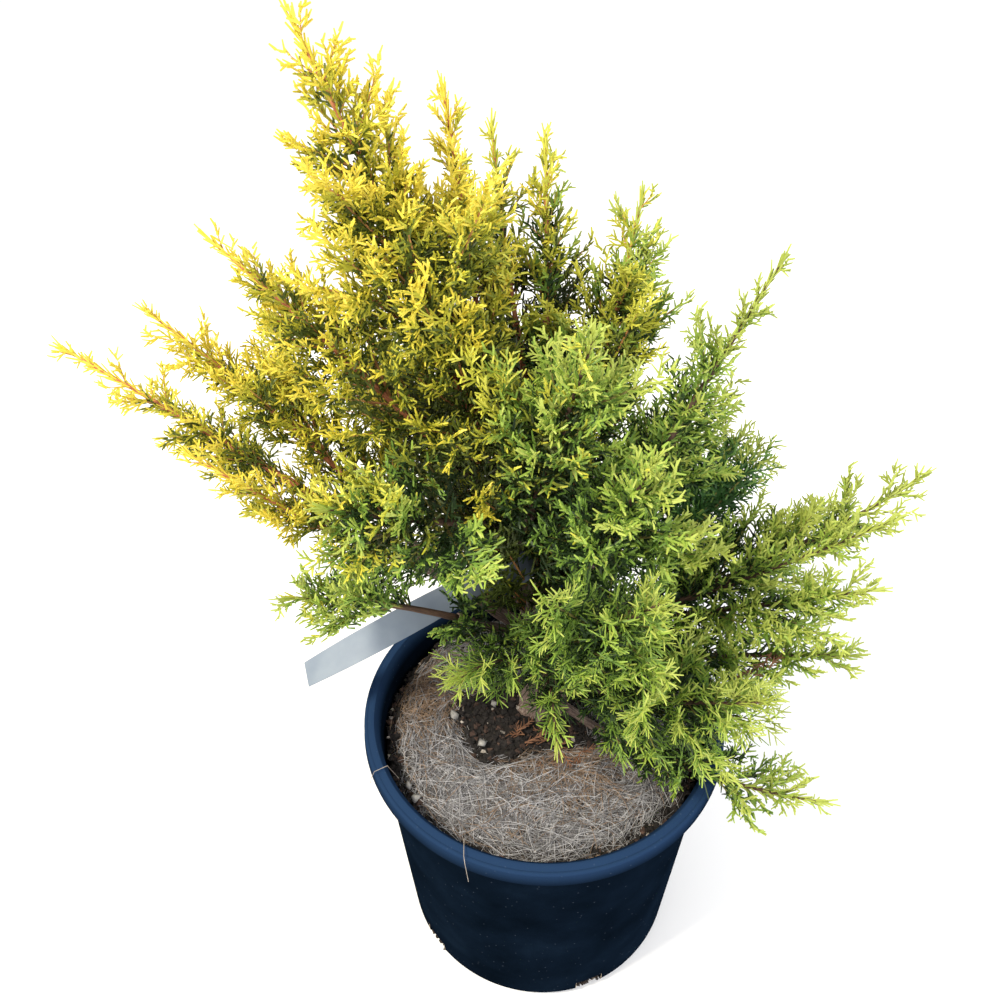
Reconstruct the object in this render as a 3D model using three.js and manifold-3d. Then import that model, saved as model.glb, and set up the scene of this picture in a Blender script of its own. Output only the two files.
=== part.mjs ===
// A golden pfitzer juniper, about 0.65 m across, growing in a round black nursery pot.
// Sizes are in millimetres and +Z is up. The origin is the centre of the pot's flat underside.
// -Y is the pot's front, over which the lowest bough creeps, and +X is to the right of it.

import * as THREE from 'three';
import { mergeVertices } from 'three/addons/utils/BufferGeometryUtils.js';
import Module from 'manifold-3d';

const wasm = await Module();
wasm.setup();

// Gap left between neighbouring pieces that meet.
const GAP = 0.3;
const MERGE_DISTANCE = 1e-4;
const SIMPLIFY_DISTANCE = 0.4;

// The pot: a moulded wall that tapers down to a rounded bottom corner, under a rolled rim.
const POT_HEIGHT = 285;
const RIM_RADIUS = 160;
const RIM_BAND_HEIGHT = 17;
const RIM_INNER_RADIUS = 146;
const WALL_TOP_RADIUS = 148;
const WALL_FOOT_RADIUS = 133;
const WALL_THICKNESS = 3;
const FOOT_CORNER_RADIUS = 14;
const FLOOR_THICKNESS = 3;
const SHOULDER_DROP = 3;
const BAND_INSET = 2;
const RIM_ROUND = 7;
const RIM_BEVEL = 3;
const RIM_FALL = 2;
const POT_SIDES = 36;
const CORNER_STEPS = 3;
const INNER_CORNER_STEPS = 2;

// Drain holes: slots cut through the bottom corner at even steps round the pot.
const DRAIN_COUNT = 5;
const DRAIN_WIDTH = 27;
const DRAIN_HEIGHT = 24;
const DRAIN_DEPTH = 16;
const DRAIN_FIRST_BEARING = THREE.MathUtils.degToRad(-67);

// Soil and the coir mulch mat on it, which is torn open round the trunk.
const SOIL_LEVEL = 252;
const SOIL_CROWN = 3;
const SOIL_CLEARANCE = 2;
const SOIL_SHOULDER = 6;
const MAT_RADIUS = 135;
const MAT_WAVE = 1.5;
const MAT_WAVES = 3;
const MAT_SLIP = 1;
const MAT_THICKNESS = 8;
const MAT_TEAR = [
  [-84, 20], [-52, 46], [-8, 58], [26, 46], [51, -4], [40, -21], [0, -27], [-42, -44], [-70, -24],
];

// The trunk, from its flat cut at soil level to the fork where the main boughs leave it.
const TRUNK_FOOT = [0, 30];
const TRUNK_TOP = [-4, 34, 336];
const TRUNK_LEAN = [4, 0, 0];
const TRUNK_FLARE_RADIUS = 25;
const TRUNK_FLARE_HEIGHT = 26;
const TRUNK_FOOT_RADIUS = 15;
const TRUNK_TOP_RADIUS = 12;
const TRUNK_TRIM = 5;
const TRUNK_SIDES = 12;
const TRUNK_STEPS = 7;

// Limbs are round, and thin evenly from where they leave their parent to the tip of the crown.
const LIMB_SIDES = 6;
const LIMB_STEPS = 3;
const LEADER_SIDES = 3;
const LEADER_STEPS = 4;
const CHAIN_LINKS = 10;
const TIP_RADIUS = 0.8;
const TIP_THINNING = 0.82;

// Sprays of needles on each leader: flat toothed blades that lean forward all round the leader.
const SPRAY_SPACING = 24;
const SPRAY_LEAN = THREE.MathUtils.degToRad(36);
const SPRAY_LEAN_SPREAD = THREE.MathUtils.degToRad(16);
const TURN_SPREAD = 0.6;
const TWIST_SPREAD = 1.6;
const SIDES_TRIED = 5;
const SPRAY_WIDTH_SHARE = 0.56;
const SPRAY_THICKNESS_SHARE = 0.024;
const SPRAY_RIB_SHARE = 0.045;
const TOOTH_PITCH = 20;
const FEWEST_TEETH = 3;
const MOST_TEETH = 4;
const TOOTH_FORWARD = 1.3;
const FIRST_TOOTH = 0.4;
const TIP_TOOTH = 0.5;
const NOTCH_SHARE = 0.8;
const RIB_THINNING = 0.6;
const TOOTH_SWELL = [0.25, 0.62];
const LONGEST_SPRAY = 125;
const SHORTEST_SPRAY = 17;
const LENGTH_SPREAD = 0.3;
const FIRST_SPRAY = 0.6;
const LAST_SPRAY = 0.7;
const FOOT_OPENING = 0.55;
const OPENING_RATE = 3;
const TIP_CLOSING = 0.85;
const TIP_ALLOWANCE = 0.7;
const SPRAY_CUTS = [1, 0.8, 0.62, 0.48, 0.36, 0.27];
const GOLDEN_ANGLE = Math.PI * (3 - Math.sqrt(5));

// Foliage further left than this is golden from the sun, and the rest is green.
const GOLD_EDGE = -40;

// Where a spray's room is tried: how wide its outline is taken, and the steps along it.
const FIT_WIDTH_SHARE = 0.62;
const FIT_START = 0.16;
const FIT_STEP = 0.12;
const FIT_OPENING = 2.2;
const FIT_CLOSING = 1.12;

// Room kept clear round each mass of foliage and round what it must not touch.
const SPACE_MARGIN = 2;
const LIMB_MARGIN = 2;
const RIM_MARGIN = 5;
const TAG_MARGIN = 15;

// The plant's plastic tag: a long strip whose looped end goes round the leading bough.
const TAG_WIDTH = 25;
const TAG_THICKNESS = 0.9;
const TAG_LOOP_RADIUS = 14;
const TAG_LOOP_SHARE = 0.175;
const TAG_LOOP_SLACK = 5;
const TAG_NECK_LENGTH = 38;
const TAG_TAIL_LENGTH = 166;
const TAG_TAIL_BEARING = THREE.MathUtils.degToRad(197);
const TAG_TAIL_DROP = THREE.MathUtils.degToRad(26);
const TAG_TWIST = THREE.MathUtils.degToRad(75);
const TAG_STEPS = 30;
const TAG_LOOP_STEPS = 12;

// Each plume is a bough with a mass of foliage at its end, along one bent line. In each row:
// name, what it grows on, how far along that (0 foot, 1 end), its furthest point,
// how far the middle of its line is pulled aside, share of the line that is bough,
// half the width of the mass, and radius where the bough leaves its parent.
const PLUMES = [
  ['leader', 'trunk', 1, [-161, 70, 832], [28, 0, 6], 0.4, 74, 7.5],
  ['back_side', 'leader', 0.8, [-123, 118, 772], [-4, 14, 0], 0.16, 50, 3.4],
  ['back_left', 'leader', 0.7, [-82, 150, 770], [0, 34, -8], 0.2, 48, 4],
  ['back_centre', 'trunk', 1, [-11, 190, 722], [4, 24, 40], 0.36, 56, 6],
  ['back_high', 'back_centre', 0.8, [-52, 200, 727], [-10, 22, 0], 0.24, 44, 3.6],
  ['back_right', 'trunk', 1, [63, 160, 691], [4, 0, 30], 0.3, 66, 5.4],
  ['right_high', 'trunk', 1, [162, 105, 669], [6, -4, 14], 0.3, 64, 6.2],
  ['right_long', 'trunk', 0.9, [290, 60, 512], [26, -22, 2], 0.3, 64, 6.4],
  ['right_shade', 'right_long', 0.9, [174, 176, 468], [0, 6, 16], 0.2, 68, 3.8],
  ['right_mid', 'right_long', 0.66, [250, 0, 516], [6, -6, 0], 0.16, 44, 3.4],
  ['right_low', 'right_long', 0.6, [244, -26, 470], [0, -10, 10], 0.24, 44, 3.6],
  ['right_foot', 'trunk', 0.66, [243, -30, 401], [0, -8, 16], 0.3, 60, 5],
  ['creeping', 'trunk', 0.2, [223, -105, 314], [-20, -22, -16], 0.46, 56, 4.4],
  ['front_right_foot', 'trunk', 0.42, [160, -102, 432], [10, -14, -10], 0.34, 62, 4.4],
  ['left_high', 'leader', 0.7, [-231, 50, 701], [-4, -8, 22], 0.26, 52, 4.4],
  ['left_long', 'trunk', 1, [-359, 50, 615], [-14, -16, 40], 0.32, 54, 6.4],
  ['left_mid', 'left_long', 0.7, [-294, 62, 640], [0, 18, 12], 0.2, 50, 3.6],
  ['left_low', 'left_long', 0.72, [-258, -8, 566], [0, -14, -4], 0.2, 46, 3.4],
  ['left_foot', 'trunk', 0.94, [-196, -48, 462], [-10, -4, 34], 0.34, 56, 5],
  ['front_high', 'leader', 0.5, [24, -34, 684], [4, -20, 10], 0.22, 66, 4.6],
  ['front_left', 'leader', 0.62, [-150, -66, 568], [0, -24, 14], 0.22, 68, 4.2],
  ['front_right', 'right_high', 0.5, [62, -84, 630], [0, -18, 10], 0.3, 56, 4.4],
  ['front_low', 'trunk', 0.9, [74, -112, 540], [0, -20, 4], 0.3, 58, 4.8],
  ['front_hanging', 'trunk', 0.62, [12, -84, 342], [0, -8, 42], 0, 46, 3],
  ['front_left_hanging', 'trunk', 0.66, [-66, -66, 398], [0, -6, 34], 0, 46, 3],
  ['rear_left', 'trunk', 1, [-178, 226, 540], [0, 10, 10], 0.34, 74, 5.4],
  ['rear_centre', 'trunk', 0.94, [-20, 304, 504], [0, 14, -6], 0.34, 74, 5.4],
  ['rear_right', 'trunk', 0.86, [124, 268, 424], [0, 4, 10], 0.34, 70, 5],
];

const materials = {
  pot: new THREE.MeshStandardMaterial({ color: 0x16202e, roughness: 0.5, metalness: 0 }),
  soil: new THREE.MeshStandardMaterial({ color: 0x2b221b, roughness: 1, metalness: 0 }),
  coir: new THREE.MeshStandardMaterial({ color: 0x9b8670, roughness: 1, metalness: 0 }),
  tag: new THREE.MeshStandardMaterial({ color: 0xc9d3da, roughness: 0.45, metalness: 0 }),
  bark: new THREE.MeshStandardMaterial({ color: 0x7a5a46, roughness: 0.95, metalness: 0 }),
  gold: new THREE.MeshStandardMaterial({ color: 0xc6b42a, roughness: 0.8, metalness: 0 }),
  green: new THREE.MeshStandardMaterial({ color: 0x6f9632, roughness: 0.8, metalness: 0 }),
};

const plant = new THREE.Group();

function addMesh(name, geometry, material) {
  geometry.computeVertexNormals();
  const mesh = new THREE.Mesh(geometry, material);
  mesh.name = name;
  plant.add(mesh);
  return mesh;
}

// Closed geometry to a solid that can be joined and cut, and back.
function solidFrom(geometry) {
  const plain = geometry.clone();
  plain.deleteAttribute('normal');
  plain.deleteAttribute('uv');
  const merged = mergeVertices(plain, MERGE_DISTANCE);
  const faces = [];
  for (let index = 0; index < merged.index.count; index += 3) {
    const face = [0, 1, 2].map((corner) => merged.index.getX(index + corner));
    if (new Set(face).size === 3) {
      faces.push(...face);
    }
  }
  return new wasm.Manifold(new wasm.Mesh({
    numProp: 3,
    vertProperties: new Float32Array(merged.attributes.position.array),
    triVerts: new Uint32Array(faces),
  }));
}

function geometryFrom(solid) {
  const mesh = solid.getMesh();
  const geometry = new THREE.BufferGeometry();
  geometry.setAttribute('position', new THREE.BufferAttribute(mesh.vertProperties, 3));
  geometry.setIndex(new THREE.BufferAttribute(mesh.triVerts, 1));
  return geometry;
}

// The largest body of a solid: loose scraps are dropped and sealed hollows are filled.
function mainBody(solid) {
  return solid.decompose().reduce((best, body) => (body.volume() > best.volume() ? body : best));
}

// A repeatable stream of numbers between 0 and 1.
function seededRandom(seed) {
  let state = seed;
  return () => {
    state = (state + 0x6d2b79f5) | 0;
    let mixed = Math.imul(state ^ (state >>> 15), 1 | state);
    mixed = (mixed + Math.imul(mixed ^ (mixed >>> 7), 61 | mixed)) ^ mixed;
    return ((mixed ^ (mixed >>> 14)) >>> 0) / 4294967296;
  };
}

// Points round a quarter circle in a lathe profile, from one angle to another.
function cornerPoints(radius, height, size, start, end, steps) {
  const points = [];
  for (let step = 0; step <= steps; step++) {
    const angle = THREE.MathUtils.lerp(start, end, step / steps);
    points.push(new THREE.Vector2(radius + size * Math.cos(angle), height + size * Math.sin(angle)));
  }
  return points;
}

// Radius of the pot wall's inner face at a height.
function innerRadius(height) {
  const share = (height - FOOT_CORNER_RADIUS) / (POT_HEIGHT - RIM_BAND_HEIGHT - FOOT_CORNER_RADIUS);
  return THREE.MathUtils.lerp(WALL_FOOT_RADIUS, WALL_TOP_RADIUS, share) - WALL_THICKNESS;
}

function buildPot() {
  const corner = WALL_FOOT_RADIUS - FOOT_CORNER_RADIUS;
  const innerCorner = FOOT_CORNER_RADIUS - WALL_THICKNESS;
  const band = POT_HEIGHT - RIM_BAND_HEIGHT;
  const profile = [
    new THREE.Vector2(0, 0),
    ...cornerPoints(corner, FOOT_CORNER_RADIUS, FOOT_CORNER_RADIUS, -Math.PI / 2, 0, CORNER_STEPS),
    new THREE.Vector2(WALL_TOP_RADIUS, band - SHOULDER_DROP),
    new THREE.Vector2(RIM_RADIUS - BAND_INSET, band),
    new THREE.Vector2(RIM_RADIUS, POT_HEIGHT - RIM_ROUND),
    new THREE.Vector2(RIM_RADIUS - RIM_BEVEL, POT_HEIGHT - RIM_BEVEL / 3),
    new THREE.Vector2(RIM_RADIUS - RIM_ROUND, POT_HEIGHT),
    new THREE.Vector2(RIM_INNER_RADIUS + RIM_FALL, POT_HEIGHT - RIM_FALL),
    new THREE.Vector2(RIM_INNER_RADIUS - RIM_FALL / 2, band - SHOULDER_DROP),
    ...cornerPoints(corner, FOOT_CORNER_RADIUS, innerCorner, 0, -Math.PI / 2, INNER_CORNER_STEPS),
    new THREE.Vector2(0, FLOOR_THICKNESS),
  ];
  const shell = new THREE.LatheGeometry(profile, POT_SIDES);
  shell.rotateX(Math.PI / 2);
  let pot = solidFrom(shell);
  for (let index = 0; index < DRAIN_COUNT; index++) {
    const hole = new THREE.BoxGeometry(DRAIN_DEPTH * 2, DRAIN_WIDTH, DRAIN_HEIGHT * 2);
    hole.translate(WALL_FOOT_RADIUS, 0, 0);
    hole.rotateZ(DRAIN_FIRST_BEARING + (index * 2 * Math.PI) / DRAIN_COUNT);
    pot = pot.subtract(solidFrom(hole));
  }
  addMesh('pot', geometryFrom(mainBody(pot)), materials.pot);
}

function buildSoil() {
  const corner = WALL_FOOT_RADIUS - FOOT_CORNER_RADIUS;
  const innerCorner = FOOT_CORNER_RADIUS - WALL_THICKNESS - GAP * 2;
  const profile = [
    new THREE.Vector2(0, FLOOR_THICKNESS + GAP * 2),
    ...cornerPoints(corner, FOOT_CORNER_RADIUS, innerCorner, -Math.PI / 2, 0, INNER_CORNER_STEPS),
    new THREE.Vector2(innerRadius(SOIL_LEVEL) - SOIL_CLEARANCE, SOIL_LEVEL - SOIL_CROWN * 2),
    new THREE.Vector2(MAT_RADIUS - SOIL_SHOULDER, SOIL_LEVEL),
    new THREE.Vector2(0, SOIL_LEVEL),
  ];
  const fill = new THREE.LatheGeometry(profile, POT_SIDES);
  fill.rotateX(Math.PI / 2);
  addMesh('potting_soil', geometryFrom(solidFrom(fill)), materials.soil);
}

// A disc with a wavy edge, holed where it is torn open round the trunk.
function buildMat() {
  const edge = [];
  for (let step = 0; step < POT_SIDES; step++) {
    const bearing = (step * 2 * Math.PI) / POT_SIDES;
    const radius = MAT_RADIUS + MAT_WAVE * Math.sin(MAT_WAVES * bearing + 1) - MAT_SLIP * Math.cos(bearing);
    edge.push(new THREE.Vector2(radius * Math.cos(bearing), radius * Math.sin(bearing)));
  }
  const disc = new THREE.Shape(edge);
  const tearLine = MAT_TEAR.map(([x, y]) => new THREE.Vector3(x, y, 0));
  const tear = new THREE.CatmullRomCurve3(tearLine, true).getPoints(MAT_TEAR.length * 3);
  disc.holes.push(new THREE.Path(tear.slice(0, -1).map((point) => new THREE.Vector2(point.x, point.y))));
  const mat = new THREE.ExtrudeGeometry(disc, { depth: MAT_THICKNESS, bevelEnabled: false });
  mat.translate(0, 0, SOIL_LEVEL + GAP);
  addMesh('coir_mat', geometryFrom(solidFrom(mat)), materials.coir);
}

// The bent line of a limb, which lies in one plane, so one normal serves its whole length.
function limbLine(start, bow, end) {
  const middle = start.clone().add(end).multiplyScalar(0.5).add(bow);
  const line = new THREE.QuadraticBezierCurve3(start, middle, end);
  const normal = new THREE.Vector3().crossVectors(end.clone().sub(start), bow);
  if (normal.lengthSq() < 1) {
    normal.crossVectors(end.clone().sub(start), new THREE.Vector3(0, 1, 0));
  }
  return { line, normal: normal.normalize() };
}

// A round tapering tube along part of a limb's line: a cylinder bent to follow it.
function bentTube(limb, from, to, radiusAt, sides, steps) {
  const tube = new THREE.CylinderGeometry(1, 1, 1, sides, steps);
  const corners = tube.attributes.position;
  for (let index = 0; index < corners.count; index++) {
    const share = THREE.MathUtils.lerp(from, to, corners.getY(index) + 0.5);
    const radius = radiusAt(share);
    const along = limb.line.getTangent(THREE.MathUtils.clamp(share, 0, 1));
    const across = new THREE.Vector3().crossVectors(limb.normal, along);
    const place = limb.line.getPoint(share);
    place.addScaledVector(limb.normal, corners.getX(index) * radius);
    place.addScaledVector(across, corners.getZ(index) * radius);
    corners.setXYZ(index, place.x, place.y, place.z);
  }
  return tube;
}

// The trunk's radius: a flared foot that tightens into an even taper.
function trunkRadius(share) {
  const height = share * (TRUNK_TOP[2] - SOIL_LEVEL + TRUNK_TRIM) - TRUNK_TRIM;
  const flare = Math.max(0, 1 - height / TRUNK_FLARE_HEIGHT);
  const shaft = THREE.MathUtils.lerp(TRUNK_FOOT_RADIUS, TRUNK_TOP_RADIUS, share);
  return shaft + (TRUNK_FLARE_RADIUS - TRUNK_FOOT_RADIUS) * flare * flare;
}

function trunkLimb() {
  const foot = new THREE.Vector3(TRUNK_FOOT[0], TRUNK_FOOT[1], SOIL_LEVEL - TRUNK_TRIM);
  const limb = limbLine(foot, new THREE.Vector3(...TRUNK_LEAN), new THREE.Vector3(...TRUNK_TOP));
  return { ...limb, end: 1, radiusAt: trunkRadius, sides: TRUNK_SIDES, steps: TRUNK_STEPS };
}

// The limb and leader of each plume, in the order of the list, so that a parent comes first.
function plantLimbs() {
  const limbs = { trunk: trunkLimb() };
  PLUMES.forEach(([name, parentName, share, tip, bow, bare, reach, thick], index) => {
    const parent = limbs[parentName];
    const start = parent.line.getPoint(parent.end * share);
    const limb = limbLine(start, new THREE.Vector3(...bow), new THREE.Vector3(...tip));
    const radiusAt = (at) => THREE.MathUtils.lerp(thick, TIP_RADIUS, at ** TIP_THINNING);
    const shape = { radiusAt, sides: LIMB_SIDES, steps: LIMB_STEPS };
    limbs[name] = { name, index, ...limb, tip, reach, end: bare, ...shape };
  });
  return limbs;
}

const LIMBS = plantLimbs();
const PLUME_LIMBS = PLUMES.map(([name]) => LIMBS[name]);

// Where a mass starts along its limb's line: just past its bough, or inside the trunk.
function leaderStart(limb) {
  return limb.end > 0 ? limb.end + GAP / limb.line.getLength() : 0;
}

// Straight pieces that stand for a limb's bough or leader when distances to it are measured.
function chainOf(limb, from, to) {
  const points = [];
  for (let step = 0; step <= CHAIN_LINKS; step++) {
    const share = THREE.MathUtils.lerp(from, to, step / CHAIN_LINKS);
    points.push({ place: limb.line.getPoint(share), radius: limb.radiusAt(share) });
  }
  return points;
}

function distanceToChain(point, chain, withRadius) {
  const link = new THREE.Line3();
  const nearest = new THREE.Vector3();
  let least = Infinity;
  for (let step = 1; step < chain.length; step++) {
    link.set(chain[step - 1].place, chain[step].place);
    const share = link.closestPointToPointParameter(point, true);
    link.at(share, nearest);
    const radius = THREE.MathUtils.lerp(chain[step - 1].radius, chain[step].radius, share);
    least = Math.min(least, nearest.distanceTo(point) - (withRadius ? radius : 0));
  }
  return least;
}

function distanceToLimb(point, limb) {
  limb.boughChain ??= chainOf(limb, 0, limb.end);
  return distanceToChain(point, limb.boughChain, true);
}

function distanceToLeader(point, limb) {
  limb.leaderChain ??= chainOf(limb, limb.end, 1);
  return distanceToChain(point, limb.leaderChain, false);
}

// The tag's frame: along its tail, through its thickness, and across its width. The loop hangs
// against the bough that it goes round, so its middle lies a little towards the tail.
function tagFrame() {
  const { line } = LIMBS.leader;
  const flat = Math.cos(TAG_TAIL_DROP);
  const along = new THREE.Vector3(
    flat * Math.cos(TAG_TAIL_BEARING),
    flat * Math.sin(TAG_TAIL_BEARING),
    -Math.sin(TAG_TAIL_DROP),
  );
  const through = new THREE.Vector3().crossVectors(line.getTangent(TAG_LOOP_SHARE), along).normalize();
  const across = new THREE.Vector3().crossVectors(along, through);
  const centre = line.getPoint(TAG_LOOP_SHARE).addScaledVector(along, TAG_LOOP_SLACK);
  return new THREE.Matrix4().makeBasis(along, through, across).setPosition(centre);
}

const TAG_FRAME = tagFrame();

// True where the tag is, with room round it.
function nearTag(point) {
  const local = point.clone().applyMatrix4(TAG_FRAME.clone().invert());
  const end = TAG_NECK_LENGTH + TAG_TAIL_LENGTH;
  const nearest = new THREE.Vector3(THREE.MathUtils.clamp(local.x, 0, end), 0, 0);
  const room = TAG_MARGIN + (local.x < TAG_NECK_LENGTH ? TAG_LOOP_RADIUS / 2 : 0);
  return nearest.distanceTo(local) < room;
}

// True in the pot's wall and rim, and in the mat and soil.
function nearPot(point) {
  const radius = Math.hypot(point.x, point.y);
  if (point.z > POT_HEIGHT + RIM_MARGIN) {
    return false;
  }
  const inside = radius < RIM_INNER_RADIUS - RIM_MARGIN && point.z > SOIL_LEVEL + MAT_THICKNESS + RIM_MARGIN;
  return !inside && radius < RIM_RADIUS + RIM_MARGIN;
}

// True where a point of foliage lies in its own mass's space, clear of every limb, tag and pot.
function inOwnSpace(point, limb) {
  if (nearPot(point) || nearTag(point)) {
    return false;
  }
  const own = (distanceToLeader(point, limb) + SPACE_MARGIN) / limb.reach;
  for (const other of Object.values(LIMBS)) {
    if (other.end > 0 && distanceToLimb(point, other) < LIMB_MARGIN) {
      return false;
    }
    const theirs = other.reach ? (distanceToLeader(point, other) - SPACE_MARGIN) / other.reach : own;
    if (other !== limb && own > theirs) {
      return false;
    }
  }
  return true;
}

// How far a spray may stand out from its leader: widest near the foot, narrow at the tip.
function sprayLength(limb, share) {
  const fromFoot = (share - limb.end) / (1 - limb.end);
  const opening = Math.min(1, FOOT_OPENING + fromFoot * OPENING_RATE);
  const closing = (1 - fromFoot) ** TIP_CLOSING;
  return (limb.reach * opening * closing) / Math.sin(SPRAY_LEAN) + SHORTEST_SPRAY * TIP_ALLOWANCE;
}

// A spray's outline: a rib with teeth that lean forward, first on one side and then the other.
function sprayOutline(length) {
  const teeth = THREE.MathUtils.clamp(Math.round(length / TOOTH_PITCH), FEWEST_TEETH, MOST_TEETH);
  const rib = length * SPRAY_RIB_SHARE;
  const left = [];
  const right = [];
  const sharp = [new THREE.Vector2(length, 0)];
  for (let tooth = 0; tooth < teeth; tooth++) {
    const side = tooth % 2 ? left : right;
    const sign = tooth % 2 ? 1 : -1;
    const at = (tooth + FIRST_TOOTH) / (teeth + FIRST_TOOTH + TIP_TOOTH);
    const notch = new THREE.Vector2(length * at * NOTCH_SHARE, sign * rib * (1 - RIB_THINNING * at));
    const swell = Math.sin(Math.PI * (TOOTH_SWELL[0] + TOOTH_SWELL[1] * at));
    const stand = length * (SPRAY_WIDTH_SHARE / 2) * swell;
    const point = notch.clone().add(new THREE.Vector2(stand * TOOTH_FORWARD, sign * stand));
    side.push(notch, point);
    sharp.push(point);
  }
  const root = new THREE.Vector2(-rib, 0);
  return { outline: new THREE.Shape([root, ...right, sharp[0], ...left.reverse()]), sharp };
}

// The blade is as thick as its rib and thins to nothing at the points of its teeth.
function sprayBlade(spray) {
  const depth = spray.length * SPRAY_THICKNESS_SHARE;
  const { outline, sharp } = sprayOutline(spray.length);
  const blade = new THREE.ExtrudeGeometry(outline, { depth, bevelEnabled: false });
  blade.translate(0, 0, -depth / 2);
  const corners = blade.attributes.position;
  for (let index = 0; index < corners.count; index++) {
    const corner = new THREE.Vector2(corners.getX(index), corners.getY(index));
    if (sharp.some((point) => point.distanceTo(corner) < GAP / 10)) {
      corners.setZ(index, 0);
    }
  }
  return blade.applyMatrix4(spray.frame);
}

// Points spread over a spray that all have to lie in its mass's own space.
function sprayFits(spray, limb) {
  const half = spray.length * SPRAY_WIDTH_SHARE * FIT_WIDTH_SHARE;
  for (let along = FIT_START; along < 1 + FIT_STEP / 2; along += FIT_STEP) {
    const width = half * Math.sqrt(Math.max(0, Math.min(1, along * FIT_OPENING) * (FIT_CLOSING - along)));
    for (const across of [-width, 0, width]) {
      const point = new THREE.Vector3(spray.length * along, across, 0).applyMatrix4(spray.frame);
      if (!inOwnSpace(point, limb)) {
        return false;
      }
    }
  }
  return true;
}

// A spray that grows from a leader: its frame runs along it, across it and through it.
function sprayAt(limb, share, turn, lean, twist, fullLength) {
  const along = limb.line.getTangent(share);
  const outward = limb.normal.clone().applyAxisAngle(along, turn);
  const direction = along.clone().multiplyScalar(Math.cos(lean)).addScaledVector(outward, Math.sin(lean));
  const across = new THREE.Vector3().crossVectors(outward, along).applyAxisAngle(direction, twist);
  const through = new THREE.Vector3().crossVectors(direction, across);
  const frame = new THREE.Matrix4().makeBasis(direction, across, through);
  frame.setPosition(limb.line.getPoint(share));
  for (const cut of SPRAY_CUTS) {
    const spray = { frame, length: fullLength * cut };
    if (spray.length < SHORTEST_SPRAY) {
      return null;
    }
    if (sprayFits(spray, limb)) {
      return spray;
    }
  }
  return null;
}

// The sprays of one mass follow each other round the leader by the golden angle. Each is also
// tried on the other sides of the leader, and stays where there is the most room for it.
function massSprays(limb) {
  const random = seededRandom(limb.index + 1);
  const start = leaderStart(limb);
  const length = limb.line.getLength() * (1 - start);
  const count = Math.round(length / SPRAY_SPACING);
  const sprays = [];
  for (let index = 0; index < count; index++) {
    const order = (index + FIRST_SPRAY) / (count - 1 + FIRST_SPRAY + LAST_SPRAY);
    const share = THREE.MathUtils.lerp(start, 1, order);
    const firstTurn = index * GOLDEN_ANGLE + random() * TURN_SPREAD;
    const lean = SPRAY_LEAN + (random() - 0.5) * SPRAY_LEAN_SPREAD;
    const twist = (random() - 0.5) * TWIST_SPREAD;
    const uneven = 1 + (random() - 0.5) * LENGTH_SPREAD;
    const fullLength = Math.min(LONGEST_SPRAY, sprayLength(limb, share) * uneven);
    let best = null;
    for (let side = 0; side < SIDES_TRIED; side++) {
      const turn = firstTurn + (side * 2 * Math.PI) / SIDES_TRIED;
      const spray = sprayAt(limb, share, turn, lean, twist, fullLength);
      if (spray && spray.length > (best?.length ?? 0) + SHORTEST_SPRAY / 2) {
        best = spray;
      }
    }
    if (best) {
      sprays.push(best);
    }
  }
  return sprays;
}

function buildMass(limb) {
  const start = leaderStart(limb);
  let mass = solidFrom(bentTube(limb, start, 1, limb.radiusAt, LEADER_SIDES, LEADER_STEPS));
  for (const spray of massSprays(limb)) {
    mass = mass.add(solidFrom(sprayBlade(spray)));
  }
  const whole = limb.end > 0 ? mainBody(mass) : clearOf(mass, [LIMBS.trunk]);
  const material = limb.tip[0] < GOLD_EDGE ? materials.gold : materials.green;
  addMesh(`foliage_${limb.name}`, geometryFrom(whole.simplify(SIMPLIFY_DISTANCE)), material);
}

// A solid with the room taken up by other limbs cut out of it, a gap clear of their bark.
function clearOf(solid, others) {
  let left = solid;
  for (const other of others) {
    const room = GAP / Math.cos(Math.PI / other.sides);
    const past = room / other.line.getLength();
    const wide = (share) => other.radiusAt(THREE.MathUtils.clamp(share, 0, other.end)) + room;
    const tube = bentTube(other, -past, other.end + past, wide, other.sides, other.steps);
    left = left.subtract(solidFrom(tube));
  }
  return mainBody(left);
}

// A bough starts on its parent's line and is cut to sit on the bark of the limbs built before it.
function buildBough(limb, others) {
  const bough = solidFrom(bentTube(limb, 0, limb.end, limb.radiusAt, limb.sides, limb.steps));
  addMesh(`bough_${limb.name}`, geometryFrom(clearOf(bough, others)), materials.bark);
}

// The trunk is drawn from a little below the soil and cut off flat just above it.
function buildTrunk() {
  const trunk = bentTube(LIMBS.trunk, 0, 1, trunkRadius, TRUNK_SIDES, TRUNK_STEPS);
  const ground = new THREE.BoxGeometry(TRUNK_FLARE_RADIUS * 4, TRUNK_FLARE_RADIUS * 4, TRUNK_TRIM * 4);
  ground.translate(TRUNK_FOOT[0], TRUNK_FOOT[1], SOIL_LEVEL + GAP - TRUNK_TRIM * 2);
  addMesh('trunk', geometryFrom(solidFrom(trunk).subtract(solidFrom(ground))), materials.bark);
}

// Turns the tag's tail gradually about its own length, so that its face looks up at its end.
function twistTail(strip) {
  const corners = strip.attributes.position;
  for (let index = 0; index < corners.count; index++) {
    const share = Math.max(0, corners.getX(index) - TAG_NECK_LENGTH) / TAG_TAIL_LENGTH;
    const corner = new THREE.Vector2(corners.getY(index), corners.getZ(index));
    corner.rotateAround(new THREE.Vector2(), TAG_TWIST * share);
    corners.setY(index, corner.x);
    corners.setZ(index, corner.y);
  }
}

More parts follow.
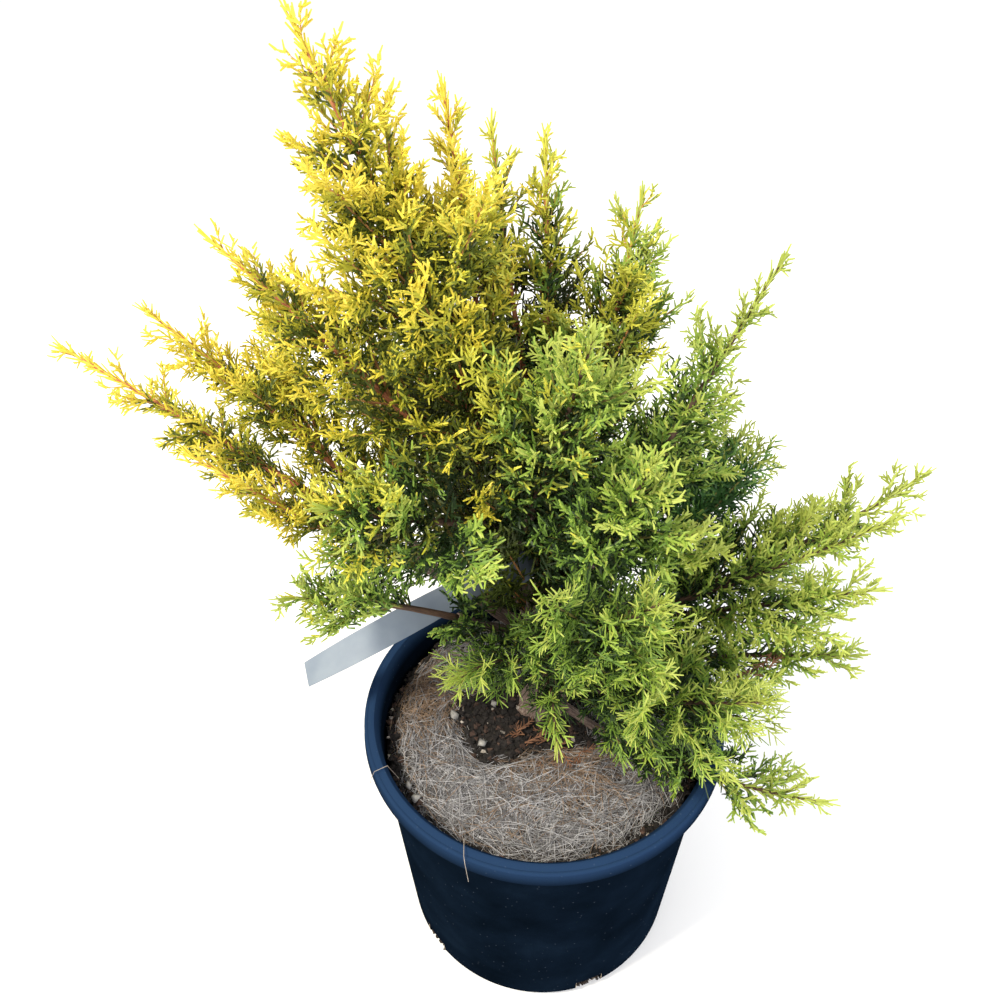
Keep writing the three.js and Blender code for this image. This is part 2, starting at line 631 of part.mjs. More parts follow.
// The strip's tail and the teardrop loop at its end, drawn in plan and extruded over its width.
function buildTag() {
  const half = TAG_THICKNESS / 2;
  const outer = TAG_LOOP_RADIUS + TAG_THICKNESS;
  const shoulder = Math.acos(outer / TAG_NECK_LENGTH);
  const tail = [];
  for (let step = 0; step <= TAG_STEPS; step++) {
    tail.push(TAG_NECK_LENGTH + (TAG_TAIL_LENGTH * step) / TAG_STEPS);
  }
  const outline = new THREE.Shape();
  outline.setFromPoints([
    ...tail.map((x) => new THREE.Vector2(x, -half)),
    ...tail.reverse().map((x) => new THREE.Vector2(x, half)),
  ]);
  outline.absarc(0, 0, outer, shoulder, 2 * Math.PI - shoulder, false);
  const hole = new THREE.Path();
  hole.moveTo(TAG_NECK_LENGTH - TAG_THICKNESS * 3, 0);
  hole.lineTo(TAG_LOOP_RADIUS * Math.cos(shoulder), TAG_LOOP_RADIUS * Math.sin(shoulder));
  hole.absarc(0, 0, TAG_LOOP_RADIUS, shoulder, 2 * Math.PI - shoulder, false);
  outline.holes.push(hole);
  const settings = { depth: TAG_WIDTH, bevelEnabled: false, curveSegments: TAG_LOOP_STEPS };
  const strip = new THREE.ExtrudeGeometry(outline, settings);
  strip.translate(0, 0, -TAG_WIDTH / 2);
  twistTail(strip);
  strip.applyMatrix4(TAG_FRAME);
  addMesh('plant_tag', geometryFrom(solidFrom(strip)), materials.tag);
}

buildPot();
buildSoil();
buildMat();
buildTrunk();
const built = [LIMBS.trunk];
for (const limb of PLUME_LIMBS) {
  if (limb.end > 0) {
    buildBough(limb, built);
    built.push(limb);
  }
}
PLUME_LIMBS.forEach(buildMass);
buildTag();

export default plant;
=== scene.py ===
# A golden pfitzer juniper in a black nursery pot, with its foliage, bark, coir and soil in full.
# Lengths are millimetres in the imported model's frame, and become metres where a mesh is made.

import math

import bpy
import numpy as np
from mathutils import Matrix, Vector


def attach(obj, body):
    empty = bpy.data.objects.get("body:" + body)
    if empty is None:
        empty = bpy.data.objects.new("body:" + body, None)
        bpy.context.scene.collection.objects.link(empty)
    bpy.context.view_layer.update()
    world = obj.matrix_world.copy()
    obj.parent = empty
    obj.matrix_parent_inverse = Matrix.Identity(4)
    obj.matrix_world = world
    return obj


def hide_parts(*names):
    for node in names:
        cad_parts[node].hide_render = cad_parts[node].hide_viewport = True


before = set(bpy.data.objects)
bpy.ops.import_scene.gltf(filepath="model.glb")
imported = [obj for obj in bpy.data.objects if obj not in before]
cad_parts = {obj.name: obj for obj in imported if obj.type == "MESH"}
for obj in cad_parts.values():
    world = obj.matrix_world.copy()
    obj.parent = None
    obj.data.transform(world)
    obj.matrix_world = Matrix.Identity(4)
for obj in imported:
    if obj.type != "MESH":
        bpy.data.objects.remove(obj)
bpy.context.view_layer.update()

METRES = 0.001

# The pot.
POT_HEIGHT = 285
RIM_RADIUS = 160
RIM_BAND_HEIGHT = 17
RIM_INNER_RADIUS = 146
WALL_TOP_RADIUS = 148
WALL_FOOT_RADIUS = 133
WALL_THICKNESS = 3
FOOT_CORNER_RADIUS = 14
FLOOR_THICKNESS = 3
POT_SIDES = 144

# The moulded forms of the pot's rim: its band, the bead on its edge, and its low crown. A drop is
# taken from the pot's top or from the band's foot, and an inset from the rim's or the wall's radius.
NECK_INSET = 0.4
NECK_DROP = 5
BAND_HOLLOW_RADIUS = 2
BAND_HOLLOW_DROP = 4.6
BAND_FOOT_RADIUS = 4
BAND_DRAFT = 0.8
BAND_TOP_DROP = 8
BEAD_RADIUS = 2.2
BEAD_INSET = 1
BEAD_DROP = 2
CROWN_RADIUS = 5.4
CROWN_INSET = 9
CROWN_DROP = 6

# The drain slots, and the soil and roots that show in them.
DRAIN_COUNT = 5
DRAIN_WIDTH = 27
DRAIN_HEIGHT = 24
DRAIN_DEPTH = 16
DRAIN_FIRST_BEARING = math.radians(-67)
DRAIN_BEARINGS = [DRAIN_FIRST_BEARING + index * 2 * math.pi / DRAIN_COUNT for index in range(DRAIN_COUNT)]
SLOT_CLODS = 190
CLOD_SIZES = (1.6, 3)
CLOD_INSETS = (1.5, 12)
SLOT_ROOTS = 3
SLOT_ROOT_POINTS = 5
SLOT_ROOT_RADII = (0.15, 0.35)
SLOT_ROOT_INSETS = (2, 4)

# The soil, and on it the coir mat, torn open round the trunk.
SOIL_LEVEL = 252
SOIL_RADIUS = 140
SOIL_STEP = 2.0
SOIL_LIFT = 0.5
SOIL_RISE = 2.2
BARE_TO_TEAR = 6
BARE_TO_EDGE = 5
LITTER_RADIUS = 141
LUMP_RISE = 0.3
MAT_RADIUS = 135
MAT_WAVE = 1.5
MAT_WAVES = 3
MAT_SLIP = 1
MAT_THICKNESS = 8
MAT_EDGE_FALL = 4
MAT_DIP = 2
MAT_RISE = 2.2
MAT_FIELD_RADIUS = 137
MAT_STEP = 2.2
FELT_DROP = 1.5
FELT_ROUGHNESS = 0.8

# Patches where the mat has stayed brown: x, y and size. Elsewhere a share of its fibres is brown.
MAT_BROWN = [(-112, 28, 40), (-24, -24, 20), (4, -42, 20), (42, -48, 20)]
BROWN_ELSEWHERE = 0.12
BROWN_MOST = 0.9

# Pebbles that lie a little sunk in the mat: x, y and size.
PEBBLE_BED = 3
PEBBLES = [(-106, -82, 6.5), (-113, -70, 4), (-81, 5, 5.5), (-57, 37, 4.5), (-53, -24, 5), (-46, 20, 4)]

# Dry sprays, on the mat and caught in a low bough: x, y, height and spread.
DEAD_SPRAYS = [(-16, -16, 259, 9), (12, -26, 259, 12), (34, -34, 259, 10), (178, -36, 394, 13)]
DRY_LENGTHS = (12, 26)
DRY_STEM_RADIUS = 0.8
DRY_NEEDLE_RADIUS = 0.75

# Two loose fibres of the mat that hang over the rim, and the fibres that lie on it.
RIM_FIBRES = [
    [(-60, -124, 262), (-59, -134, 287.5), (-58, -148, 287.2), (-57, -151.5, 281), (-55, -152.5, 256)],
    [(-122, -66, 262), (-129, -71, 287.5), (-139, -77, 287.2), (-142, -78, 280), (-144, -77, 270)],
]
RIM_FIBRE_RADIUS = 0.28
FIBRE_STEPS = 4
FIBRE_THINNING = (0.7, 1, 1, 0.5)
FIBRE_LENGTHS = (18, 62)
FIBRE_BEND = 0.22
FIBRE_RISE = 2.2
FIBRE_OVERHANG = 12
FIBRES_PAST_TEAR = 4
FIBRES_PAST_EDGE = 2

# Corners of the tear, by x and y.
MAT_TEAR = [
    (-84, 20), (-52, 46), (-8, 58), (26, 46), (51, -4), (40, -21), (0, -27), (-42, -44), (-70, -24),
]

# The trunk, and how its boughs taper and stand off it.
GAP = 0.3
TRUNK_FOOT = (0, 30)
TRUNK_TOP = (-4, 34, 336)
TRUNK_LEAN = (4, 0, 0)
TRUNK_FLARE_RADIUS = 25
TRUNK_FLARE_HEIGHT = 26
TRUNK_FOOT_RADIUS = 15
TRUNK_TOP_RADIUS = 12
TRUNK_TRIM = 5
TIP_RADIUS = 0.8
TIP_THINNING = 0.82

# Sprays on each leader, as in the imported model.
SPRAY_SPACING = 24
SPRAY_LEAN = math.radians(36)
SPRAY_LEAN_SPREAD = math.radians(16)
TURN_SPREAD = 0.6
TWIST_SPREAD = 1.6
SIDES_TRIED = 5
SPRAY_WIDTH_SHARE = 0.56
LONGEST_SPRAY = 125
SHORTEST_SPRAY = 17
LENGTH_SPREAD = 0.3
FIRST_SPRAY = 0.6
LAST_SPRAY = 0.7
FOOT_OPENING = 0.55
OPENING_RATE = 3
TIP_CLOSING = 0.85
TIP_ALLOWANCE = 0.7
SPRAY_CUTS = (1, 0.8, 0.62, 0.48, 0.36, 0.27)
GOLDEN_ANGLE = math.pi * (3 - math.sqrt(5))
GOLD_EDGE = -40

# Where a spray's room is tried: how wide its outline is taken, and the steps along it.
FIT_WIDTH_SHARE = 0.62
FIT_START = 0.16
FIT_STEP = 0.12
FIT_OPENING = 2.2
FIT_CLOSING = 1.12

# Room kept clear round each mass of foliage and round what it must not touch.
CHAIN_LINKS = 10
SPACE_MARGIN = 2
LIMB_MARGIN = 2
RIM_MARGIN = 5
TAG_MARGIN = 15
FINE_TAG_MARGIN = 5
FINGER_TAG_MARGIN = 3

# The finer shoots between those sprays, and inside the crown along the boughs. Their reach is a
# share of the rule's, at the foot and at the tip of a mass.
SPRAY_REACH = (1.3, 0.72)
SHOOT_SPACING = 4
SHOOT_LEAN = 1.1
SHOOT_LENGTHS = (0.4, 0.95)
SHOOT_ROOM = 1.9
SHOOTS_END = 0.97
LONG_SHOOTS = 0.1
LONG_SHOOT_LENGTH = 1.6
INNER_SPACING = 3
INNER_START = 0.15
# Shoots inside the crown count as lying this far below the foot of their mass, which deals them deeper tints:
# painted shade.
INNER_PAINTED_SHADE = -0.45
INNER_ROOM = 50
SPRAY_LIFT = 0.07
SPRAY_WANDER = 0.05

# The orders of shoots that sprout from those. Each has its spacing, its length as a share of its
# parent's, its least and most length, and how far it leans from its parent and rolls about it.
TWIGS = (7.5, 0.45, 8, 50, math.radians(38), 0.5)
FINGERS = (3.6, 0.45, 5.5, 15, math.radians(36), 0.6)
SHORT_FINGERS = (3.6, 0.02, 6, 11, math.radians(40), 1.2)
END_FINGERS = (3.6, 0.4, 5, 7.5, math.radians(36), 0.8)
DRY_NEEDLES = (2.6, 0.3, 4, 9, math.radians(35), 0.3)
FORKED_FROM = 9
SPROUT_PLACES = (0.3, 1.0)
SPROUT_LAST = 0.35
SPROUT_ADDED = 0.6
SPROUT_OUTNESS = 0.6
SPROUT_OPENING = (0.55, 2.2)
SPROUT_CLOSING = 0.7
SPROUT_LENGTHS = (0.75, 1.2)
SPROUT_LEAN_LUCK = math.radians(7)
SPROUT_LIFT = 0.05
LEADER_FINGER_SPACING = 1.6
LEADER_FINGER_LENGTHS = (8, 14)
LEADER_FINGER_LEANS = (0.75, 0.25)
LEADER_FINGER_LUCK = 0.1
LEADER_FINGERS_END = 0.99
FINGER_RADIUS = 1.16
FINGER_THICKNESSES = (0.8, 1.15)
FINGER_SHAPE = (0.9, 0.5)

# The tag.
TAG_WIDTH = 25
TAG_THICKNESS = 0.9
TAG_LOOP_RADIUS = 14
TAG_LOOP_SHARE = 0.175
TAG_LOOP_SLACK = 5
TAG_NECK_LENGTH = 38
TAG_TAIL_LENGTH = 166
TAG_TAIL_BEARING = math.radians(197)
TAG_TAIL_DROP = math.radians(26)
TAG_OPEN_FROM = 82
TAG_OPEN_WIDTH = 17
TAG_TWIST = math.radians(75)
TAG_STEPS = 60
TAG_LOOP_STEPS = 28

# Each plume is a bough with a mass of foliage at its end, along one bent line. In each row:
# name, what it grows on, how far along that (0 foot, 1 end), its furthest point,
# how far the middle of its line is pulled aside, share of the line that is bough,
# half the width of the mass, and radius where the bough leaves its parent.
PLUMES = [
    ("leader", "trunk", 1, (-161, 70, 832), (28, 0, 6), 0.4, 74, 7.5),
    ("back_side", "leader", 0.8, (-123, 118, 772), (-4, 14, 0), 0.16, 50, 3.4),
    ("back_left", "leader", 0.7, (-82, 150, 770), (0, 34, -8), 0.2, 48, 4),
    ("back_centre", "trunk", 1, (-11, 190, 722), (4, 24, 40), 0.36, 56, 6),
    ("back_high", "back_centre", 0.8, (-52, 200, 727), (-10, 22, 0), 0.24, 44, 3.6),
    ("back_right", "trunk", 1, (63, 160, 691), (4, 0, 30), 0.3, 66, 5.4),
    ("right_high", "trunk", 1, (162, 105, 669), (6, -4, 14), 0.3, 64, 6.2),
    ("right_long", "trunk", 0.9, (290, 60, 512), (26, -22, 2), 0.3, 64, 6.4),
    ("right_shade", "right_long", 0.9, (174, 176, 468), (0, 6, 16), 0.2, 68, 3.8),
    ("right_mid", "right_long", 0.66, (250, 0, 516), (6, -6, 0), 0.16, 44, 3.4),
    ("right_low", "right_long", 0.6, (244, -26, 470), (0, -10, 10), 0.24, 44, 3.6),
    ("right_foot", "trunk", 0.66, (243, -30, 401), (0, -8, 16), 0.3, 60, 5),
    ("creeping", "trunk", 0.2, (223, -105, 314), (-20, -22, -16), 0.46, 56, 4.4),
    ("front_right_foot", "trunk", 0.42, (160, -102, 432), (10, -14, -10), 0.34, 62, 4.4),
    ("left_high", "leader", 0.7, (-231, 50, 701), (-4, -8, 22), 0.26, 52, 4.4),
    ("left_long", "trunk", 1, (-359, 50, 615), (-14, -16, 40), 0.32, 54, 6.4),
    ("left_mid", "left_long", 0.7, (-294, 62, 640), (0, 18, 12), 0.2, 50, 3.6),
    ("left_low", "left_long", 0.72, (-258, -8, 566), (0, -14, -4), 0.2, 46, 3.4),
    ("left_foot", "trunk", 0.94, (-196, -48, 462), (-10, -4, 34), 0.34, 56, 5),
    ("front_high", "leader", 0.5, (24, -34, 684), (4, -20, 10), 0.22, 66, 4.6),
    ("front_left", "leader", 0.62, (-150, -66, 568), (0, -24, 14), 0.22, 68, 4.2),
    ("front_right", "right_high", 0.5, (62, -84, 630), (0, -18, 10), 0.3, 56, 4.4),
    ("front_low", "trunk", 0.9, (74, -112, 540), (0, -20, 4), 0.3, 58, 4.8),
    ("front_hanging", "trunk", 0.62, (12, -84, 342), (0, -8, 42), 0, 46, 3),
    ("front_left_hanging", "trunk", 0.66, (-66, -66, 398), (0, -6, 34), 0, 46, 3),
    ("rear_left", "trunk", 1, (-178, 226, 540), (0, 10, 10), 0.34, 74, 5.4),
    ("rear_centre", "trunk", 0.94, (-20, 304, 504), (0, 14, -6), 0.34, 74, 5.4),
    ("rear_right", "trunk", 0.86, (124, 268, 424), (0, 4, 10), 0.34, 70, 5),
]

# How golden each mass is: 1 for gold, 0 for green, and less for the fresher, bluer green of a mass in the
# shade. It is partly the foliage's own gold and green, and partly painted sunlight on the golden masses and
# painted shade on those below 0.
SUN = {
    "leader": 1, "back_side": 1, "back_left": 0.85, "left_high": 1, "left_long": 1, "left_mid": 1,
    "left_low": 0.8, "rear_left": 0.8, "back_high": 0.7, "back_centre": 0.65, "back_right": 0.7,
    "left_foot": 0, "front_left": 0.4, "front_high": 0.4, "right_high": 0.4, "front_right": 0.35,
    "right_shade": -0.3, "rear_right": -0.1, "rear_centre": -0.1,
}
OTHER_SUN = 0.1
# Gold grows towards the left and upwards from a middle point: partly painted sunlight from the upper left.
SUN_FROM_LEFT = 0.003
SUN_FROM_ABOVE = 0.0012
SUN_MIDDLE = (-100, 560)
SUN_LUCK = 0.6
SHOOT_LUCK = 0.15
GROUPS = 20000
GOLDEN = 0.8
TURNING = 0.36
# Masses more golden than this get the lit copy of the leader and stem bark, as painted sunlight.
LIT_BARK = 0.45

# How light a shoot's tint is: more towards the tip of its mass, partly for the paler young growth and partly
# as painted light;
# more under open sky, so that shoots deep in the crown carry painted shade; more on the right, as painted
# light on the side the lamps leave darker; and by luck.
BRIGHT_AT_TIP = 0.5
PAINTED_LIGHT_IN_OPEN = 0.7
PAINTED_LIGHT_ON_RIGHT = 0.0007
BRIGHT_LUCK = 0.3
BRIGHT_SHOOT_LUCK = 0.06

# How much of the finer growth is left out in patches, so that sky shows through.
THINNED = {"left_long": 0.6, "left_mid": 0.3, "left_low": 0.3, "creeping": 0.4, "right_long": 0.3}
PATCH_SIZE = 75
PATCH_EDGE = -0.85
TUFT_SPACING = 46
TUFT_SHIFT = 0.37
TUFT_EDGES = (-2.2, -0.45)
TUFT_RATE = 1.6

# Masses whose sprays are shorter or longer than the rule's, as the photo shows them.
FULLNESS = {
    "right_high": 0.62, "left_long": 0.9, "left_low": 0.8, "creeping": 0.9, "right_long": 0.95,
    "right_foot": 0.9, "back_high": 0.8, "back_centre": 0.9, "left_mid": 1.3, "leader": 1.25,
    "back_side": 1.25, "front_hanging": 0.8, "right_shade": 0.84, "back_right": 1.12,
}

# The longest spray of a mass that hangs just over the mat.
HANGING_LONGEST = {"front_hanging": 30}

# Masses whose shoots are dealt lighter or deeper tints than the rule's: painted light where the value is
# above 0, painted shade where it is below.
PAINTED_LIGHT_AND_SHADE_BY_MASS = {
    "left_foot": 0.1, "front_low": 0.07, "front_hanging": 0.05, "left_mid": 0.06, "left_low": 0.06,
    "right_shade": -0.1,
}

# Masses whose shoots are longer and thinner, like hanging needles: 1 is the most.
NEEDLED = {"front_hanging": 0.5, "front_left_hanging": 0.9, "front_low": 0.4, "front_right_foot": 0.5}
NEEDLE_LENGTHENING = 0.8

# The bark: sides and steps of its tubes, and the height, stretch and spacing of its strips, which
# are at their full height on limbs of the given radius. The sprays have thin stems.
TRUNK_SIDES = 40
BOUGH_SIDES = 20
BARK_STEP = 2.5
BARK_RELIEF = 0.9
LEADER_SIDES = 8
LEADER_STEP = 4
LEADER_RELIEF = 0.3
LEADER_BARK_END = 0.97
LEADER_SEEDS_FROM = 50
STRIP_STRETCH = 0.12
STRIP_SPACING = 7
STRIPS_FULL_RADIUS = 4
STEM_STEPS = 4
STEM_END = 0.8
STEM_SLENDERNESS = 70
STEM_RADII = (0.6, 1.3)
STEM_THINNING = (1.0, 0.85, 0.65, 0.4)

# The photo's camera: where it stands, how it is turned, its focal length and its sensor's width.
CAMERA_PLACE = (0, -527.3, 971.1)
CAMERA_PITCH = math.radians(40.302)
CAMERA_YAW = math.radians(-3.892)
CAMERA_ROLL = math.radians(-0.851)
FOCAL_LENGTH = 34.2
SENSOR_WIDTH = 36

# The studio, in metres: a paper floor just under the pot, and soft lights with their place, size,
# power and colour.
FLOOR_HALF = 6
FLOOR_DROP = 0.0005
LIGHTS = {
    "key": ((-1.3, -0.9, 2.4), 0.5, 84, "#fff6e2"),
    "fill": ((1.8, -1.4, 1.6), 2.0, 50, "#fbfbff"),
}
LIGHTS_AIM = (0, 0.03, 0.45)


# Numbers that repeat

def seeded_random(seed):
    """A repeatable stream of numbers between 0 and 1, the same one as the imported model's."""
    full = 0xFFFFFFFF
    state = seed

    def following():
        nonlocal state
        state = (state + 0x6D2B79F5) & full
        mixed = ((state ^ (state >> 15)) * (1 | state)) & full
        stirred = ((mixed ^ (mixed >> 7)) * (61 | mixed)) & full
        mixed = ((mixed + stirred) & full) ^ mixed
        return (mixed ^ (mixed >> 14)) / (full + 1)

    return following


def lerp(start, end, share):
    return start + (end - start) * share


def unit(vectors):
    return vectors / np.maximum(np.linalg.norm(vectors, axis=-1, keepdims=True), 1e-9)


def turned(vectors, axes, angles):
    """Vectors turned about unit axes."""
    angles = np.asarray(angles)[..., None]
    along = (vectors * axes).sum(-1, keepdims=True) * axes
    return along + (vectors - along) * np.cos(angles) + np.cross(axes, vectors) * np.sin(angles)


def waves(points, size, seed, octaves=3, each=5):
    """Smooth noise from about -1 to 1 at points, with features of a given size."""
    random = np.random.default_rng(seed)
    total = np.zeros(points.shape[:-1])
    for octave in range(octaves):
        for _ in range(each):
            direction = random.normal(size=points.shape[-1])
            pace = direction / np.linalg.norm(direction) * (2 ** octave) * 2 * math.pi / size
            total += np.sin(points @ pace + random.uniform(0, 2 * math.pi)) * 0.5 ** octave / (each / 2)
    return total


# Limbs: each is a bent line in one plane

LENGTH_TICKS = 201


class Limb:
    """The trunk, or a bough: bare from its start to its end, and from there a leader to its tip."""

    def __init__(self, name, start, bow, tip, end, radius_at, reach=0, index=0):
        self.name = name
        self.start = np.array(start, float)
        self.tip = np.array(tip, float)
        self.bow = np.array(bow, float)
        self.middle = (self.start + self.tip) / 2 + self.bow
        normal = np.cross(self.tip - self.start, self.bow)
        if normal @ normal < 1:
            normal = np.cross(self.tip - self.start, (0, 1, 0))
        self.normal = unit(normal)
        self.end = end
        self.radius_at = radius_at
        self.reach = reach
        self.index = index
        ticks = self.place(np.linspace(0, 1, LENGTH_TICKS))
        self.length = np.linalg.norm(np.diff(ticks, axis=0), axis=1).sum()

    def place(self, share):
        share = np.asarray(share)[..., None]
        first = lerp(self.start, self.middle, share)
        second = lerp(self.middle, self.tip, share)
        return lerp(first, second, share)

    def heading(self, share):
        share = np.clip(np.asarray(share), 0, 1)[..., None]
        return unit(lerp(self.middle - self.start, self.tip - self.middle, share))


def trunk_radius(share):
    """A flared foot that tightens into an even taper."""
    height = share * (TRUNK_TOP[2] - SOIL_LEVEL + TRUNK_TRIM) - TRUNK_TRIM
    flare = np.maximum(0, 1 - height / TRUNK_FLARE_HEIGHT)
    shaft = lerp(TRUNK_FOOT_RADIUS, TRUNK_TOP_RADIUS, share)
    return shaft + (TRUNK_FLARE_RADIUS - TRUNK_FOOT_RADIUS) * flare * flare


def plant_limbs():
    foot = (*TRUNK_FOOT, SOIL_LEVEL - TRUNK_TRIM)
    limbs = {"trunk": Limb("trunk", foot, TRUNK_LEAN, TRUNK_TOP, 1, trunk_radius)}
    for index, (name, parent_name, share, tip, bow, bare, reach, thick) in enumerate(PLUMES):
        parent = limbs[parent_name]

        def radius_at(at, thick=thick):
            return lerp(thick, TIP_RADIUS, np.clip(at, 0, 1) ** TIP_THINNING)

        start = parent.place(parent.end * share)
        limbs[name] = Limb(name, start, bow, tip, bare, radius_at, reach, index)
    return limbs


LIMBS = plant_limbs()
MASSES = [LIMBS[row[0]] for row in PLUMES]
REACHES = np.array([limb.reach for limb in MASSES])


def by_mass(values, other=0):
    """A value for every mass, from a table that names only some of them."""
    return np.array([values.get(limb.name, other) for limb in MASSES])


# Room: where the foliage of one mass may grow

def chain_of(limb, start, end):
    shares = np.linspace(start, end, CHAIN_LINKS + 1)
    return limb.place(shares), limb.radius_at(shares)


LEADER_CHAINS = np.array([chain_of(limb, limb.end, 1)[0] for limb in MASSES])
BARK_LIMBS = [limb for limb in LIMBS.values() if limb.end > 0]
BARK_CHAINS = np.array([chain_of(limb, 0, limb.end)[0] for limb in BARK_LIMBS])
BARK_RADII = np.array([chain_of(limb, 0, limb.end)[1] for limb in BARK_LIMBS])


def chain_distances(points, chains, radii=None):
    """Distance of each point (n, 3) from each chain (m, links + 1, 3), as (n, m)."""
    starts = chains[:, :-1]
    lines = chains[:, 1:] - starts
    offsets = points[:, None, None] - starts[None]
    shares = np.clip((offsets * lines).sum(-1) / (lines * lines).sum(-1), 0, 1)
    distances = np.linalg.norm(offsets - shares[..., None] * lines, axis=-1)
    if radii is not None:
        distances -= lerp(radii[:, :-1], radii[:, 1:], shares)
    return distances.min(-1)


def near_pot(points):
    """True in or near the pot's wall and rim, and in or just over the mat and soil."""
    radius = np.hypot(points[..., 0], points[..., 1])
    height = points[..., 2]
    low = height <= POT_HEIGHT + RIM_MARGIN
    above_mat = height > SOIL_LEVEL + MAT_THICKNESS + RIM_MARGIN
    inside = (radius < RIM_INNER_RADIUS - RIM_MARGIN) & above_mat
    return low & ~inside & (radius < RIM_RADIUS + RIM_MARGIN)


def tag_frame():
    """The tag's frame: along its tail, through its thickness, across its width, and its origin."""
    line = LIMBS["leader"]
    flat = math.cos(TAG_TAIL_DROP)
    along = np.array([
        flat * math.cos(TAG_TAIL_BEARING),
        flat * math.sin(TAG_TAIL_BEARING),
        -math.sin(TAG_TAIL_DROP),
    ])
    through = unit(np.cross(line.heading(TAG_LOOP_SHARE), along))
    across = np.cross(along, through)
    return np.array([along, through, across]), line.place(TAG_LOOP_SHARE) + along * TAG_LOOP_SLACK


TAG_AXES, TAG_CENTRE = tag_frame()


def near_tag(points, margin):
    """True within a margin of the tag's loop and tail."""
    local = (points - TAG_CENTRE) @ TAG_AXES.T
    along = np.clip(local[..., 0], 0, TAG_NECK_LENGTH + TAG_TAIL_LENGTH)
    nearest = np.stack([along, along * 0, along * 0], axis=-1)
    room = margin + np.where(local[..., 0] < TAG_NECK_LENGTH, TAG_LOOP_RADIUS / 2, 0)
    return np.linalg.norm(local - nearest, axis=-1) < room


def neighbours_of(limb):
    """Masses and bark near enough to a mass to matter: within twice both reaches, or three of its own."""
    own = LEADER_CHAINS[limb.index]
    masses = chain_distances(own, LEADER_CHAINS).min(0) < (REACHES + limb.reach) * 2
    masses[limb.index] = False
    bark = chain_distances(own, BARK_CHAINS).min(0) < limb.reach * 3
    return masses, bark


def over_tag_face(points):
    """True where foliage would hang over the face of the tag's tail, seen from the front."""
    sight = unit(points - CAMERA_PLACE)
    offset = points - TAG_CENTRE
    offset = offset - (offset * sight).sum(-1, keepdims=True) * sight
    tail = TAG_AXES[0] - (sight @ TAG_AXES[0])[..., None] * sight
    along = (offset * tail).sum(-1) / (tail * tail).sum(-1)
    along = np.clip(along, TAG_OPEN_FROM, TAG_NECK_LENGTH + TAG_TAIL_LENGTH)[..., None]
    aside = np.linalg.norm(offset - along * tail, axis=-1)
    depth = ((TAG_CENTRE + along * TAG_AXES[0] - points) * sight).sum(-1)
    return (aside < TAG_OPEN_WIDTH) & (depth > -TAG_OPEN_WIDTH)


def in_own_space(points, limb, room=1.0, own_bark=True, tag_margin=TAG_MARGIN):
    """True for points of foliage that lie in their own mass's space, clear of bark, tag and pot."""
    masses, bark = NEIGHBOURS[limb.index]
    if not own_bark:
        bark = bark & np.array([other is not limb for other in BARK_LIMBS])
    clear = ~near_pot(points) & ~near_tag(points, tag_margin)
    own = chain_distances(points, LEADER_CHAINS[limb.index][None])[:, 0] + SPACE_MARGIN
    if masses.any():
        theirs = (chain_distances(points, LEADER_CHAINS[masses]) - SPACE_MARGIN) / REACHES[masses]
        clear &= own / limb.reach <= theirs.min(-1) * room
    if bark.any():
        gaps = chain_distances(points, BARK_CHAINS[bark], BARK_RADII[bark])
        clear &= gaps.min(-1) >= LIMB_MARGIN
    return clear


NEIGHBOURS = [neighbours_of(limb) for limb in MASSES]


# Sprays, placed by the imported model's rule

def leader_start(limb):
    return limb.end + GAP / limb.length if limb.end > 0 else 0


def spray_length(limb, share):
    """How far a spray may stand out from its leader: widest near the foot, narrow at the tip."""
    from_foot = np.maximum(0, share - limb.end) / (1 - limb.end)
    opening = np.minimum(1, FOOT_OPENING + from_foot * OPENING_RATE)
    closing = (1 - from_foot) ** TIP_CLOSING
    return limb.reach * opening * closing / math.sin(SPRAY_LEAN) + SHORTEST_SPRAY * TIP_ALLOWANCE


def spray_points():
    """Points spread over a spray of length 1: along it and across it."""
    places = []
    for along in np.arange(FIT_START, 1 + FIT_STEP / 2, FIT_STEP):
        swell = math.sqrt(max(0, min(1, along * FIT_OPENING) * (FIT_CLOSING - along)))
        width = SPRAY_WIDTH_SHARE * FIT_WIDTH_SHARE * swell
        places += [(along, -width), (along, 0), (along, width)]
    return np.array(places)


SPRAY_POINTS = spray_points()


def spray_axes(limb, share, turn, lean, twist):
    """The direction a spray grows in, the way across it, and its root. All may be arrays."""
    along = limb.heading(share)
    normal = np.broadcast_to(limb.normal, along.shape)
    outward = turned(normal, along, turn)
    lean = np.asarray(lean)[..., None]
    direction = along * np.cos(lean) + outward * np.sin(lean)
    across = turned(np.cross(outward, along), direction, twist)
    return direction, across, limb.place(share)


def fits(direction, across, root, lengths, limb, *rules):
    """True for each spray whose points all lie in its own mass's space."""
    places = SPRAY_POINTS[None] * np.asarray(lengths)[:, None, None]
    points = root[:, None] + places[..., :1] * direction[:, None] + places[..., 1:] * across[:, None]
    clear = in_own_space(points.reshape(-1, 3), limb, *rules)
    return clear.reshape(len(direction), -1).all(-1)


def cut_to_fit(direction, across, root, full, limb, *rules):
    """Each spray's longest cut length that fits, or 0."""
    lengths = np.zeros(len(direction))
    for cut in SPRAY_CUTS:
        trying = np.flatnonzero((lengths == 0) & (full * cut >= SHORTEST_SPRAY))
        if len(trying):
            tried = full[trying] * cut
            good = fits(direction[trying], across[trying], root[trying], tried, limb, *rules)
            lengths[trying[good]] = tried[good]
    return lengths


